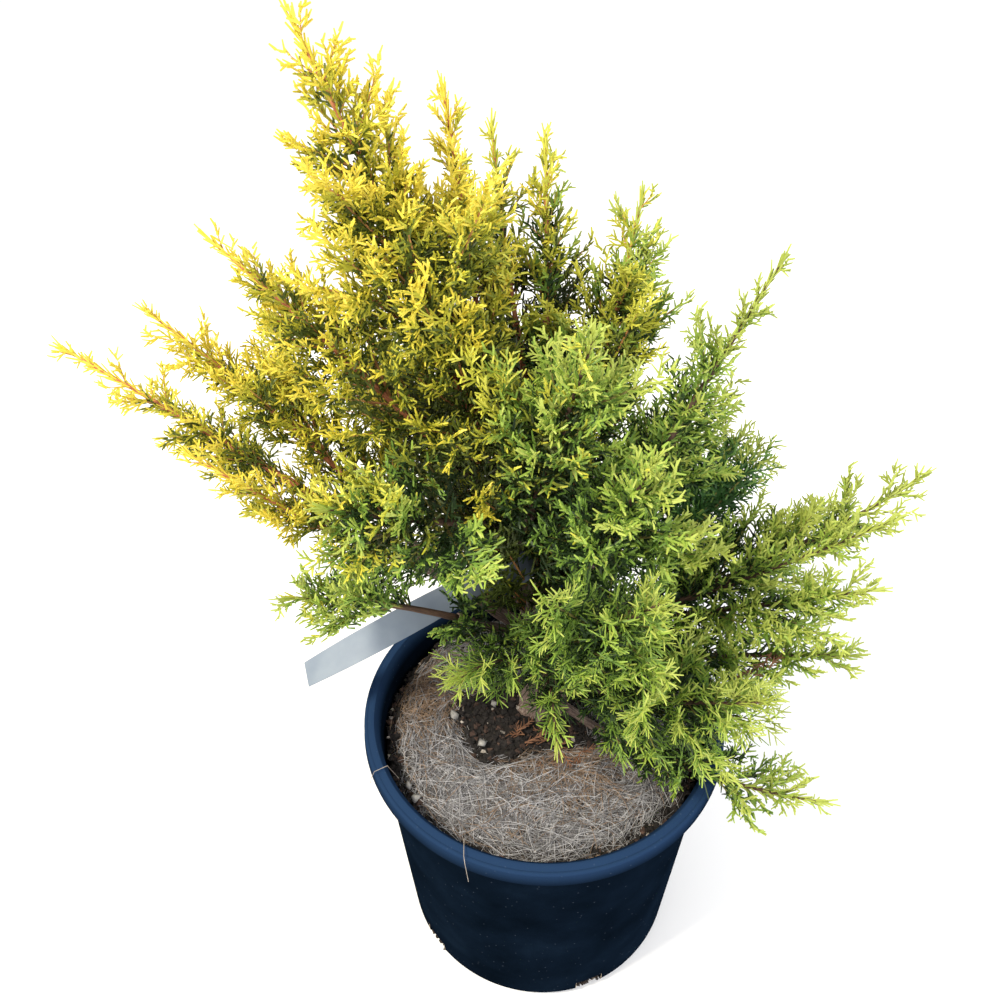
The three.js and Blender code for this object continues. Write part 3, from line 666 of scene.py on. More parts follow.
def main_sprays(limb):
    """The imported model's own sprays: each is tried on five sides, and set where it has most room."""
    random = seeded_random(limb.index + 1)
    start = leader_start(limb)
    count = round(limb.length * (1 - start) / SPRAY_SPACING)
    sprays = []
    for index in range(count):
        share = lerp(start, 1, (index + FIRST_SPRAY) / (count - 1 + FIRST_SPRAY + LAST_SPRAY))
        first_turn = index * GOLDEN_ANGLE + random() * TURN_SPREAD
        lean = SPRAY_LEAN + (random() - 0.5) * SPRAY_LEAN_SPREAD
        twist = (random() - 0.5) * TWIST_SPREAD
        uneven = 1 + (random() - 0.5) * LENGTH_SPREAD
        full = min(LONGEST_SPRAY, spray_length(limb, share) * uneven)
        turns = first_turn + np.arange(SIDES_TRIED) * 2 * math.pi / SIDES_TRIED
        same = np.ones(SIDES_TRIED)
        direction, across, root = spray_axes(limb, share * same, turns, lean * same, twist * same)
        lengths = cut_to_fit(direction, across, root, full * same, limb)
        best = 0
        chosen = None
        for side in range(SIDES_TRIED):
            if lengths[side] > best + SHORTEST_SPRAY / 2:
                best = lengths[side]
                chosen = side
        if chosen is not None:
            sprays.append((root[chosen], direction[chosen], across[chosen], best, share))
    return sprays


def finer_sprays(limb, start, end, spacing, room, own_bark, seed):
    """Finer shoots all along part of a limb, between the main sprays and within the same reach."""
    random = np.random.default_rng(limb.index + seed)
    count = round(limb.length * (end - start) / spacing)
    order = np.arange(count)
    shares = lerp(start, end, (order + 0.5) / (count + 0.2))
    turns = order * GOLDEN_ANGLE + random.uniform(0, 1, count)
    leans = SPRAY_LEAN * SHOOT_LEAN + random.uniform(-0.5, 0.5, count) * SPRAY_LEAN_SPREAD * 2
    twists = random.uniform(-0.5, 0.5, count) * TWIST_SPREAD
    full = spray_length(limb, shares) * random.uniform(*SHOOT_LENGTHS, count)
    full = full * np.where(random.uniform(0, 1, count) < LONG_SHOOTS, LONG_SHOOT_LENGTH, 1.0)
    from_foot = np.maximum(0, shares - limb.end) / (1 - limb.end)
    full = full * lerp(*SPRAY_REACH, from_foot) * FULLNESS.get(limb.name, 1)
    full = np.minimum(LONGEST_SPRAY, full)
    direction, across, root = spray_axes(limb, shares, turns, leans, twists)
    lengths = cut_to_fit(direction, across, root, full, limb, room, own_bark, FINE_TAG_MARGIN)
    middle = root + direction * (full / 2)[:, None]
    patch = waves(middle, PATCH_SIZE, seed=71) > PATCH_EDGE + THINNED.get(limb.name, 0)
    tuft = np.sin((shares * limb.length / TUFT_SPACING + limb.index * TUFT_SHIFT) * 2 * math.pi)
    tufted = tuft > lerp(*TUFT_EDGES, np.minimum(1, from_foot * TUFT_RATE))
    kept = (lengths > 0) & patch & tufted
    return list(zip(root[kept], direction[kept], across[kept], lengths[kept], shares[kept]))


# Growth: shoots of one order, and the finer shoots that sprout from them

class Shoots:
    """Many shoots of one order. Each leaves its root and bends a little towards the light."""

    def __init__(self, root, direction, across, length, mass, outness, group):
        self.root = root
        self.direction = direction
        self.across = across
        self.length = length
        self.mass = mass
        self.outness = outness
        self.group = group
        self.bend = np.zeros_like(root)

    def place(self, which, share):
        share = np.asarray(share)[:, None]
        line = self.direction[which] * self.length[which][:, None]
        return self.root[which] + line * share + self.bend[which] * share ** 2

    def heading(self, which, share):
        share = np.asarray(share)[:, None]
        line = self.direction[which] * self.length[which][:, None]
        return unit(line + 2 * self.bend[which] * share)

    def points_at(self, share):
        """The point at one share of every shoot's length."""
        count = len(self.length)
        return self.place(np.arange(count), np.full(count, share))

    def kept(self, mask):
        chosen = Shoots(
            self.root[mask], self.direction[mask], self.across[mask], self.length[mask],
            self.mass[mask], self.outness[mask], self.group[mask],
        )
        chosen.bend = self.bend[mask]
        return chosen


def numbered(counts):
    """For each child: its parent, and its place in its parent's row of children."""
    parents = np.repeat(np.arange(len(counts)), counts)
    order = np.arange(counts.sum()) - np.repeat(np.cumsum(counts) - counts, counts)
    return parents, order


def sprout(parents, random, spacing, length_share, least, most, lean, roll):
    """Side shoots, first on one side of each parent and then the other, shorter towards its tip."""
    counts = np.maximum(2, np.round(parents.length / spacing)).astype(int)
    which, order = numbered(counts)
    share = (order + random.uniform(*SPROUT_PLACES, len(which))) / (counts[which] + SPROUT_LAST)
    side = np.where(order % 2, 1.0, -1.0)
    along = parents.heading(which, share)
    across = unit(parents.across[which] - (parents.across[which] * along).sum(-1, keepdims=True) * along)
    outward = turned(across * side[:, None], along, random.normal(0, roll, len(which)))
    leans = random.normal(lean, SPROUT_LEAN_LUCK, len(which))[:, None]
    direction = along * np.cos(leans) + outward * np.sin(leans)
    foot, opening = SPROUT_OPENING
    shape = np.minimum(1, foot + opening * share) * (1 - share) ** SPROUT_CLOSING
    luck = random.uniform(*SPROUT_LENGTHS, len(which))
    length = parents.length[which] * length_share * shape * luck
    length = np.clip(length + least * SPROUT_ADDED, least, most)
    outness = lerp(parents.outness[which], 1, share * SPROUT_OUTNESS)
    made = Shoots(
        parents.place(which, share), direction, unit(np.cross(direction, np.cross(along, outward))),
        length, parents.mass[which], outness, parents.group[which],
    )
    made.bend = length[:, None] * (
        np.array([0, 0, SPROUT_LIFT]) + random.normal(0, SPROUT_LIFT, made.root.shape)
    )
    return made


def plant_sprays():
    """All sprays and finer shoots that stand on the leaders, and on the boughs inside the crown."""
    rows = []
    for limb in MASSES:
        shorter = SPRAY_REACH[1] * FULLNESS.get(limb.name, 1)
        grown = [(*spray[:3], spray[3] * shorter, spray[4]) for spray in main_sprays(limb)]
        start = leader_start(limb)
        grown += finer_sprays(limb, start, SHOOTS_END, SHOOT_SPACING, SHOOT_ROOM, own_bark=True, seed=101)
        if limb.end > 0:
            inner = limb.end * INNER_START
            grown += finer_sprays(
                limb, inner, limb.end, INNER_SPACING, INNER_ROOM, own_bark=False, seed=301)
        for root, direction, across, length, share in grown:
            from_foot = (share - limb.end) / (1 - limb.end) if share > limb.end else 2 * INNER_PAINTED_SHADE
            rows.append((root, direction, across, length, limb.index, from_foot))
    root, direction, across, length, mass, from_foot = (np.array(column) for column in zip(*rows))
    line = direction * length[:, None]
    hides_tag = over_tag_face(root + line) | over_tag_face(root + line / 2)
    length = np.minimum(length, by_mass(HANGING_LONGEST, LONGEST_SPRAY)[mass])
    sprays = Shoots(root, direction, across, length, mass, from_foot / 2, np.arange(len(root)))
    sprays = sprays.kept(~hides_tag)
    random = np.random.default_rng(7)
    lift = np.array([0, 0, SPRAY_LIFT]) + random.normal(0, SPRAY_WANDER, sprays.root.shape)
    sprays.bend = lift * sprays.length[:, None]
    return sprays


def leader_fingers():
    """Short shoots set straight on the leaders, which close round each tip in a narrow spire."""
    random = np.random.default_rng(17)
    rows = []
    for limb in MASSES:
        count = int(limb.length * (1 - limb.end) / LEADER_FINGER_SPACING)
        order = np.arange(count)
        share = lerp(limb.end, LEADER_FINGERS_END, (order + 0.5) / count)
        from_foot = (share - limb.end) / (1 - limb.end)
        lean = lerp(*LEADER_FINGER_LEANS, from_foot) + random.normal(0, LEADER_FINGER_LUCK, count)
        direction, across, root = spray_axes(limb, share, order * GOLDEN_ANGLE, lean, np.zeros(count))
        length = random.uniform(*LEADER_FINGER_LENGTHS, count)
        rows.append((root, direction, across, length, np.full(count, limb.index), from_foot))
    root, direction, across, length, mass, outness = (np.concatenate(column) for column in zip(*rows))
    return Shoots(root, direction, across, length, mass, outness, mass)


# Shapes made of many small closed bodies

def fingers_of(start, end, radius):
    """Blunt three-sided fingers, about half as thick at the tip as at the root."""
    along = unit(end - start)
    helper = np.where(np.abs(along[:, 2:]) < 0.9, [[0.0, 0, 1]], [[1.0, 0, 0]])
    side = unit(np.cross(along, helper))
    over = np.cross(along, side)
    points = []
    for place, thick in zip((start, end), FINGER_SHAPE):
        for step in range(3):
            angle = step * 2 * math.pi / 3
            spoke = math.cos(angle) * side + math.sin(angle) * over
            points.append(place + radius[:, None] * thick * spoke)
    pattern = np.array([
        [2, 1, 0], [3, 4, 5], [0, 1, 4], [0, 4, 3], [1, 2, 5], [1, 5, 4], [2, 0, 3], [2, 3, 5],
    ])
    faces = pattern[None] + (np.arange(len(start)) * 6)[:, None, None]
    return np.stack(points, axis=1).reshape(-1, 3), faces.reshape(-1, 3)


def tubes(paths, radii, sides):
    """Closed tubes along paths (n, rings, 3). Radii are (n, rings) or (n, rings, sides)."""
    count, rings = paths.shape[:2]
    headings = unit(np.gradient(paths, axis=1))
    mean = unit(paths[:, -1] - paths[:, 0])
    helper = np.where(np.abs(mean[:, 2:]) < 0.8, [[0.0, 0, 1]], [[1.0, 0, 0]])[:, None]
    side = unit(np.cross(headings, np.broadcast_to(helper, headings.shape)))
    over = np.cross(headings, side)
    angles = np.arange(sides) * 2 * math.pi / sides
    if radii.ndim == 2:
        radii = radii[..., None] * np.ones(sides)
    spokes = np.cos(angles)[:, None] * side[:, :, None] + np.sin(angles)[:, None] * over[:, :, None]
    skin = paths[:, :, None] + spokes * radii[..., None]
    points = np.concatenate([skin.reshape(count, -1, 3), paths[:, :1], paths[:, -1:]], axis=1)
    pattern = []
    last = rings * sides
    for ring in range(rings - 1):
        for step in range(sides):
            here = ring * sides + step
            beside = ring * sides + (step + 1) % sides
            pattern += [(here, beside, beside + sides), (here, beside + sides, here + sides)]
    for step in range(sides):
        beside = (step + 1) % sides
        pattern.append((last, beside, step))
        pattern.append((last + 1, last - sides + step, last - sides + beside))
    faces = np.array(pattern)[None] + (np.arange(count) * (last + 2))[:, None, None]
    return points.reshape(-1, 3), faces.reshape(-1, 3)


def joined(shapes):
    """Several shapes as one."""
    points = []
    faces = []
    total = 0
    for shape_points, shape_faces in shapes:
        points.append(shape_points)
        faces.append(shape_faces + total)
        total += len(shape_points)
    return np.concatenate(points), np.concatenate(faces)


def piece(name, shape, material, replaces=(), smooth=False):
    """One mesh of the object, from points in millimetres and triangles."""
    points, faces = shape
    mesh = bpy.data.meshes.new(name)
    mesh.vertices.add(len(points))
    mesh.vertices.foreach_set("co", (points * METRES).astype(np.float32).ravel())
    mesh.loops.add(len(faces) * 3)
    mesh.loops.foreach_set("vertex_index", faces.astype(np.int32).ravel())
    mesh.polygons.add(len(faces))
    mesh.polygons.foreach_set("loop_start", np.arange(0, len(faces) * 3, 3, dtype=np.int32))
    mesh.polygons.foreach_set("use_smooth", np.full(len(faces), smooth))
    mesh.update(calc_edges=True)
    mesh.materials.append(material)
    made = bpy.data.objects.new(name, mesh)
    bpy.context.scene.collection.objects.link(made)
    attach(made, "root")
    if replaces:
        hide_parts(*replaces)
    return made


# Materials, with the size of each one's pattern on the real thing, in millimetres

LEAF_SCALE = 1.43
BARK_STRIP = 1.43
STEM_PATCH = 8.33
CRUMB = 3.33
PACKED_CRUMB = 3.85
DRY_PATCH = 5
FELT_HAIR = 2.38
DUST_PATCH = 71.4
DUST_SPECK = 7.7
TAG_SMUDGE = 22.2

# The pot's real grain of a fifth of a millimetre wouldn't show, so it is drawn this coarse.
POT_GRAIN = 1.11


def colour(text):
    """An sRGB colour such as #c8b430 as the linear one that a shader takes."""
    parts = [int(text[at:at + 2], 16) / 255 for at in (1, 3, 5)]
    linear = [part / 12.92 if part <= 0.04045 else ((part + 0.055) / 1.055) ** 2.4 for part in parts]
    return (*linear, 1)


def per_metre(size):
    """A texture's scale, from the size of its pattern in millimetres."""
    return 1 / (size * METRES)


def set_stops(ramp, stops):
    """Gives a colour ramp its stops: places from 0 to 1, with their colours."""
    while len(ramp.elements) < len(stops):
        ramp.elements.new(0.5)
    for element, (place, text) in zip(ramp.elements, stops):
        element.position = place
        element.color = colour(text)


def add_node(material, kind, settings=None, inputs=None, stops=None):
    """Adds a node with its settings and a ramp's stops, and gives its inputs their values or links."""
    tree = material.node_tree
    node = tree.nodes.new(kind)
    for name, value in (settings or {}).items():
        setattr(node, name, value)
    if stops:
        set_stops(node.color_ramp, stops)
    for name, value in (inputs or {}).items():
        if isinstance(value, bpy.types.NodeSocket):
            tree.links.new(value, node.inputs[name])
        else:
            node.inputs[name].default_value = value
    return node


def new_material(name):
    material = bpy.data.materials.new(name)
    material.use_nodes = True
    material.node_tree.nodes.clear()
    return material


def skin_of(material, base, rough, relief=None, shine=0.5):
    """The surface itself. Its relief is a pattern, a strength, and a depth in millimetres."""
    inputs = {"Base Color": base, "Roughness": rough, "Specular IOR Level": shine}
    if relief:
        pattern, strength, depth = relief
        bump = add_node(material, "ShaderNodeBump", inputs={
            "Height": pattern, "Strength": strength, "Distance": depth * METRES,
        })
        inputs["Normal"] = bump.outputs["Normal"]
    return add_node(material, "ShaderNodeBsdfPrincipled", inputs=inputs).outputs["BSDF"]


def finish_material(material, surface):
    add_node(material, "ShaderNodeOutputMaterial", inputs={"Surface": surface})
    return material


def leaf_material(name, base):
    """Scale leaves of juniper: waxy, so half matt, and they let some light through."""
    material = new_material(name)
    place = add_node(material, "ShaderNodeTexCoord").outputs["Object"]
    scales = add_node(material, "ShaderNodeTexNoise", inputs={
        "Vector": place, "Scale": per_metre(LEAF_SCALE),
    })
    skin = skin_of(material, colour(base), 0.55, (scales.outputs["Fac"], 0.4, 0.4))
    through = add_node(material, "ShaderNodeBsdfTranslucent", inputs={"Color": colour(base)})
    both = add_node(material, "ShaderNodeMixShader", inputs={0: 0.3, 1: skin, 2: through.outputs["BSDF"]})
    return finish_material(material, both.outputs["Shader"])


def dull_surface(material, place, stops, size, rough, depth=0.4, strength=0.5, detail=5.0, fineness=0.6):
    """A natural stuff whose colour and relief vary together, in patches of one size."""
    patches = add_node(material, "ShaderNodeTexNoise", inputs={
        "Vector": place, "Scale": per_metre(size), "Detail": detail, "Roughness": fineness,
    }).outputs["Fac"]
    tones = add_node(material, "ShaderNodeValToRGB", inputs={"Fac": patches}, stops=stops)
    skin = skin_of(material, tones.outputs["Color"], rough, (patches, strength, depth))
    return finish_material(material, skin)


def dull_material(name, stops, size, rough):
    """Such a stuff on its own piece, where the pattern follows the piece's own places."""
    material = new_material(name)
    place = add_node(material, "ShaderNodeTexCoord").outputs["Object"]
    return dull_surface(material, place, stops, size, rough)


def bark_material(name, stops):
    """Juniper bark: thin papery strips that run along the limb, dull and dry."""
    material = new_material(name)
    place = add_node(material, "ShaderNodeAttribute", {"attribute_name": "limb_place"}).outputs["Vector"]
    strips = add_node(material, "ShaderNodeMapping", inputs={
        "Vector": place, "Scale": (1, 1, STRIP_STRETCH),
    }).outputs["Vector"]
    return dull_surface(
        material, strips, stops, BARK_STRIP, 0.85, depth=1.2, strength=0.8, detail=6.0, fineness=0.65)


def stem_material(name, stops):
    """Young twigs with smooth thin bark, which still has a little sheen."""
    return dull_material(name, stops, STEM_PATCH, rough=0.7)


def peat_material(name, stops, crumb=CRUMB):
    """Milled peat, packed and damp: soft dark crumbs that swallow the light."""
    return dull_material(name, stops, crumb, rough=0.95)


def crumb_material(name, stops):
    """Loose crumbs of peat and chips of composted bark that have dried, and are a little less dull."""
    return dull_material(name, stops, CRUMB, rough=0.9)


def stone_material(name, stops):
    """Worn grit and pebbles with a floury surface, so they don't shine."""
    return dull_material(name, stops, CRUMB, rough=0.9)


def coir_material(name, stops):
    """Fibres of coconut husk, teased out and pressed: dry hairs that bleach from brown to grey."""
    return dull_material(name, stops, DRY_PATCH, rough=0.8)


def felt_material(name, stops):
    """The same husk deep in the mat: short matted hairs with dust in them, painted dark for the shade under
    the fibres that lie over them.
    """
    return dull_material(name, stops, FELT_HAIR, rough=0.95)


def dry_material(name, stops):
    """Dead plant stuff, shrunken and dull: fine roots, and needles that have dropped."""
    return dull_material(name, stops, DRY_PATCH, rough=0.85)


def pot_material():
    """Black polypropylene, injection moulded in a grained tool, with specks of dust. It has no shine of its
    own:
    a painted reflection of the sky, navy blue, lies on what faces up and on the rim's band."""
    material = new_material("pot_plastic")
    place = add_node(material, "ShaderNodeTexCoord").outputs["Object"]
    grain = add_node(material, "ShaderNodeTexNoise", inputs={
        "Vector": place, "Scale": per_metre(POT_GRAIN), "Detail": 3.0,
    })
    clouds = add_node(material, "ShaderNodeTexNoise", inputs={
        "Vector": place, "Scale": per_metre(DUST_PATCH), "Detail": 6.0, "Roughness": 0.6,
    }).outputs["Fac"]
    cells = add_node(material, "ShaderNodeTexVoronoi", inputs={
        "Vector": place, "Scale": per_metre(DUST_SPECK),
    })
    specks = add_node(material, "ShaderNodeValToRGB", inputs={"Fac": cells.outputs["Distance"]}, stops=[
        (0.0, "#ffffff"), (0.07, "#ffffff"), (0.1, "#000000"),
    ])
    base = add_node(material, "ShaderNodeValToRGB", inputs={"Fac": clouds}, stops=[
        (0.3, "#050b13"), (0.55, "#09121d"), (0.8, "#101b28"),
    ])
    speck = add_node(material, "ShaderNodeMath", {"operation": "MULTIPLY"}, inputs={
        0: specks.outputs["Color"], 1: 0.2,
    })
    specked = add_node(material, "ShaderNodeMix", {"data_type": "RGBA"}, inputs={
        "Factor": speck.outputs[0], "A": base.outputs["Color"], "B": colour("#5f6a76"),
    })
    # Painted reflection: upward faces and the rim's band are mixed towards navy blue, for the sky's shine
    # that this plastic lacks.
    facing = add_node(material, "ShaderNodeNewGeometry").outputs["Normal"]
    upward = add_node(material, "ShaderNodeSeparateXYZ", inputs={"Vector": facing}).outputs["Z"]
    facing_sky_share = add_node(material, "ShaderNodeMapRange", inputs={
        "Value": upward, "From Min": 0.1, "From Max": 1.0, "To Max": 0.5,
    })
    height = add_node(material, "ShaderNodeSeparateXYZ", inputs={"Vector": place}).outputs["Z"]
    on_band = add_node(material, "ShaderNodeMapRange", inputs={
        "Value": height, "From Min": (POT_HEIGHT - RIM_BAND_HEIGHT - 1) * METRES,
        "From Max": (POT_HEIGHT - 2) * METRES, "To Min": 0.0, "To Max": 0.5,
    })
    painted_reflection_share = add_node(material, "ShaderNodeMath", {"operation": "MAXIMUM"}, inputs={
        0: facing_sky_share.outputs["Result"], 1: on_band.outputs["Result"],
    })
    dust_and_painted_reflection = add_node(material, "ShaderNodeMix", {"data_type": "RGBA"}, inputs={
        "Factor": painted_reflection_share.outputs[0], "A": specked.outputs["Result"], "B": colour("#2c4569"),
    })
    rough = add_node(material, "ShaderNodeMapRange", inputs={
        "Value": clouds, "To Min": 0.38, "To Max": 0.58,
    })
    relief = (grain.outputs["Fac"], 0.25, 0.3)
    skin = skin_of(material, dust_and_painted_reflection.outputs["Result"], rough.outputs["Result"], relief, shine=0.0)
    return finish_material(material, skin)


def tag_material():
    """A label of thin white polypropylene sheet, half matt, with smudges from handling; its white is painted
    a darker blue-grey, as painted shade.
    """
    material = new_material("tag_plastic")
    place = add_node(material, "ShaderNodeTexCoord").outputs["Object"]
    smudges = add_node(material, "ShaderNodeTexNoise", inputs={
        "Vector": place, "Scale": per_metre(TAG_SMUDGE), "Detail": 5.0,
    }).outputs["Fac"]
    base = add_node(material, "ShaderNodeValToRGB", inputs={"Fac": smudges}, stops=[
        (0.3, "#6f7b8b"), (0.7, "#7e8996"),
    ])
    rough = add_node(material, "ShaderNodeMapRange", inputs={
        "Value": smudges, "To Min": 0.5, "To Max": 0.65,
    })
    return finish_material(material, skin_of(material, base.outputs["Color"], rough.outputs["Result"]))


# Foliage tints: name, colour, and the record's slot. Four are golden, four turning and four green,
# each from the lightest to the deepest, where the deeper steps carry painted shade, and two are for masses in
# the shade, partly their own green and partly painted shade.
TINTS = [
    ("gold_tip", "#eada52", "foliage_gold"),
    ("gold", "#e4d648", "foliage_gold"),
    ("gold_mid", "#bfbc38", "foliage_gold"),
    ("gold_deep", "#5f6d26", "foliage_gold"),
    ("turning_tip", "#d4d252", "foliage_green"),
    ("turning", "#c4c440", "foliage_green"),
    ("turning_mid", "#8b9433", "foliage_green"),
    ("turning_deep", "#3e4a1c", "foliage_green"),
    ("lime_tip", "#b6c25a", "foliage_green"),
    ("lime", "#a0b94b", "foliage_green"),
    ("green", "#75963a", "foliage_green"),
    ("green_deep", "#2c461c", "foliage_green"),
    ("shade_green", "#7aa24c", "foliage_green"),
    ("shade_deep", "#3f6a30", "foliage_green"),
]
TINT_STEPS = 4
DEEPER_SHARES = (0.92, 0.78, 0.5)

# How open the crown is at each shoot: counted in cells towards the sky overhead and round about.
# The least open shoots get the deepest tints, as painted shade. Of the shoots hidden deepest, only a share is
# kept.
CELL = 14
CELLS_SEEN = 6
SHADE_EACH = 0.04
OUTLOOK_SIDES = 6
OUTLOOK_SLANT = (0.75, 0.66)
HIDDEN_BELOW = 0.14
HIDDEN_KEPT = 0.34


def openness(points):
    """How open each point of the foliage lies to the sky: near 0 deep inside, 1 at the outside."""
    cells = ((points - points.min(0)) / CELL).astype(int) + CELLS_SEEN + 1
    crowd = np.zeros(cells.max(0) + CELLS_SEEN + 2)
    np.add.at(crowd, tuple(cells.T), 1)
    seen = np.zeros_like(crowd)
    flat, steep = OUTLOOK_SLANT
    turns = np.arange(OUTLOOK_SIDES) * 2 * math.pi / OUTLOOK_SIDES
    outlooks = [(0, 0, 1)] + [(flat * math.cos(turn), flat * math.sin(turn), steep) for turn in turns]
    for outlook in outlooks:
        passed = np.zeros_like(crowd)
        for step in range(1, CELLS_SEEN + 1):
            shift = np.round(-np.array(outlook) * step).astype(int)
            passed += np.roll(crowd, shift, axis=(0, 1, 2))
        seen += np.exp(-passed * SHADE_EACH)
    return seen[tuple(cells.T)] / len(outlooks)


def tints_of(root, mass, group, outness, open_share, random):
    """The tint of each shoot: golden or green by its mass and place, partly painted sunlight, and light or
    deep by painted light and shade.
    """
    own_sun = by_mass(SUN, OTHER_SUN)
    group_luck = np.random.default_rng(3).uniform(-0.5, 0.5, GROUPS)
    sun = own_sun[mass] - SUN_FROM_LEFT * (root[:, 0] - SUN_MIDDLE[0])
    sun = sun + SUN_FROM_ABOVE * (root[:, 2] - SUN_MIDDLE[1])
    sun = sun + group_luck[group % GROUPS] * SUN_LUCK + random.uniform(-SHOOT_LUCK, SHOOT_LUCK, len(sun))
    bright = BRIGHT_AT_TIP * outness + PAINTED_LIGHT_IN_OPEN * open_share
    bright = bright + group_luck[(group * 7) % GROUPS] * BRIGHT_LUCK
    bright = bright + by_mass(PAINTED_LIGHT_AND_SHADE_BY_MASS)[mass] + random.normal(0, BRIGHT_SHOOT_LUCK, len(bright))
    cuts = np.quantile(bright, DEEPER_SHARES) - PAINTED_LIGHT_ON_RIGHT * np.maximum(0, root[:, :1])
    step = (bright[:, None] < cuts).sum(-1)
    palette = (sun < GOLDEN).astype(int) + (sun < TURNING)
    shaded = (own_sun[mass] < 0) & (step > 0)
    return np.where(shaded, 3 * TINT_STEPS + (step > 1), palette * TINT_STEPS + step)


def grow_foliage():
    """All foliage, one piece for each tint. Gives back the sprays, whose stems are bark."""
    random = np.random.default_rng(11)
    needled = by_mass(NEEDLED)
    sprays = plant_sprays()
    twigs = sprout(sprays, random, *TWIGS)
    fingers = sprout(twigs, random, *FINGERS)
    short = sprout(sprays, random, *SHORT_FINGERS)
    ends = sprout(fingers.kept(fingers.length > FORKED_FROM), random, *END_FINGERS)
    rows = []
    # Each order's shift of tint: the fingers' ends lighter, partly paler young growth and partly painted
    # light, and the short fingers close on the stems deeper, as painted shade.
    for shoots, light, thick in (
        (twigs, 0.0, 0.9), (fingers, 0.05, 1.0), (short, -0.1, 1.0), (ends, 0.12, 0.9),
        (leader_fingers(), 0.0, 1.0),
    ):
        longer = 1 + NEEDLE_LENGTHENING * needled[shoots.mass]
        shoots.length = shoots.length * longer
        end = shoots.points_at(1)
        middle = (shoots.root + end) / 2
        by_tag = near_tag(end, FINGER_TAG_MARGIN) | near_tag(middle, FINGER_TAG_MARGIN)
        clear = ~near_pot(end) & ~by_tag & ~over_tag_face(end)
        radius = FINGER_RADIUS * thick * random.uniform(*FINGER_THICKNESSES, len(longer)) / longer
        columns = (shoots.root, end, radius, shoots.mass, shoots.group, shoots.outness + light)
        rows.append([column[clear] for column in columns])
    columns = [np.concatenate(column) for column in zip(*rows)]
    open_share = openness(columns[0])
    seen = (open_share > HIDDEN_BELOW) | (random.uniform(0, 1, len(open_share)) < HIDDEN_KEPT)
    root, end, radius, mass, group, outness, open_share = (
        column[seen] for column in (*columns, open_share))
    tint = tints_of(root, mass, group, outness, open_share, random)
    golden_side = [f"foliage_{limb.name}" for limb in MASSES if limb.tip[0] < GOLD_EDGE]
    green_side = [f"foliage_{limb.name}" for limb in MASSES if limb.tip[0] >= GOLD_EDGE]
    replaced = {"gold": golden_side, "green": green_side}
    for index, (name, base, slot) in enumerate(TINTS):
        chosen = tint == index
        shape = fingers_of(root[chosen], end[chosen], radius[chosen])
        piece(f"foliage_{name}", shape, leaf_material(f"leaf_{name}", base), replaced.get(name, ()))
    return sprays


def limb_tube(limb, start, end, sides, step, relief, seed):
    """Part of a limb as a tube with shallow strips of bark along it, and its own bark places."""
    rings = max(4, int(limb.length * (end - start) / step))
    shares = np.linspace(start, end, rings)
    path = limb.place(shares)
    radius = limb.radius_at(shares)
    travelled = shares * limb.length
    angles = np.arange(sides) * 2 * math.pi / sides
    around = radius[:, None] * angles[None]
    spots = np.stack([
        np.cos(angles)[None] * radius[:, None],
        np.sin(angles)[None] * radius[:, None],
        np.broadcast_to(travelled[:, None] * STRIP_STRETCH, around.shape),
    ], axis=-1)
    rise = waves(spots, STRIP_SPACING, seed) * relief * np.minimum(1, radius / STRIPS_FULL_RADIUS)[:, None]
    shape = tubes(path[None], (radius[:, None] + rise)[None], sides)
    lengthwise = np.broadcast_to(travelled[:, None], around.shape)
    places = np.stack([spots[..., 0], spots[..., 1], lengthwise], axis=-1)
    ends = np.array([[0, 0, travelled[0]], [0, 0, travelled[-1]]])
    return shape, np.concatenate([places.reshape(-1, 3), ends])


def bark_piece(name, stretches, material, nodes=()):
    """Several stretches of limbs as one piece of bark, which keeps their places for its pattern."""
    shapes, places = zip(*(limb_tube(*stretch) for stretch in stretches))
    made = piece(name, joined(shapes), material, nodes, smooth=True)
    attribute = made.data.attributes.new("limb_place", "FLOAT_VECTOR", "POINT")
    attribute.data.foreach_set("vector", (np.concatenate(places) * METRES).astype(np.float32).ravel())


def grow_bark(sprays):
    """The trunk and boughs, the leaders in their foliage, and the stems of the sprays."""
    stretches = []
    for seed, limb in enumerate(BARK_LIMBS):
        sides = TRUNK_SIDES if limb.name == "trunk" else BOUGH_SIDES
        stretches.append((limb, 0, limb.end, sides, BARK_STEP, BARK_RELIEF, seed))
    nodes = ["trunk"] + [f"bough_{limb.name}" for limb in MASSES if limb.end > 0]
    old = bark_material("bark_old", [(0.3, "#3f322b"), (0.5, "#77645a"), (0.72, "#a8988c")])
    bark_piece("bark_trunk_and_boughs", stretches, old, nodes)

    stems = np.stack([sprays.points_at(share * STEM_END) for share in np.linspace(0, 1, STEM_STEPS)], axis=1)
    thick = np.clip(sprays.length / STEM_SLENDERNESS, *STEM_RADII)[:, None] * np.array(STEM_THINNING)
    # Golden masses get a lit orange copy of the bark, partly young bark's own orange and partly painted
    # sunlight; the rest get a darker copy, as painted shade.
    lit = by_mass(SUN, OTHER_SUN) > LIT_BARK
    young = bark_material("bark_young", [(0.3, "#84482e"), (0.55, "#b8724c"), (0.8, "#d89a70")])
    green = bark_material("bark_shaded_limbs", [(0.3, "#2e211a"), (0.55, "#513a2b"), (0.8, "#755b4b")])
    for name, masses, material in (("bark_leaders_lit", lit, young), ("bark_leaders_shaded", ~lit, green)):
        stretches = [
            (limb, limb.end, LEADER_BARK_END, LEADER_SIDES, LEADER_STEP, LEADER_RELIEF,
             limb.index + LEADER_SEEDS_FROM)
            for limb in MASSES if masses[limb.index]
        ]
        bark_piece(name, stretches, material)
    for name, masses, stops in (
        ("twig_stems_lit", lit, [(0.3, "#8f5c30"), (0.7, "#be8850")]),
        ("twig_stems_shaded", ~lit, [(0.3, "#5c4c26"), (0.7, "#8a8a3c")]),
    ):
        chosen = masses[sprays.mass]
        piece(name, tubes(stems[chosen], thick[chosen], sides=4), stem_material(name, stops))


# Pot

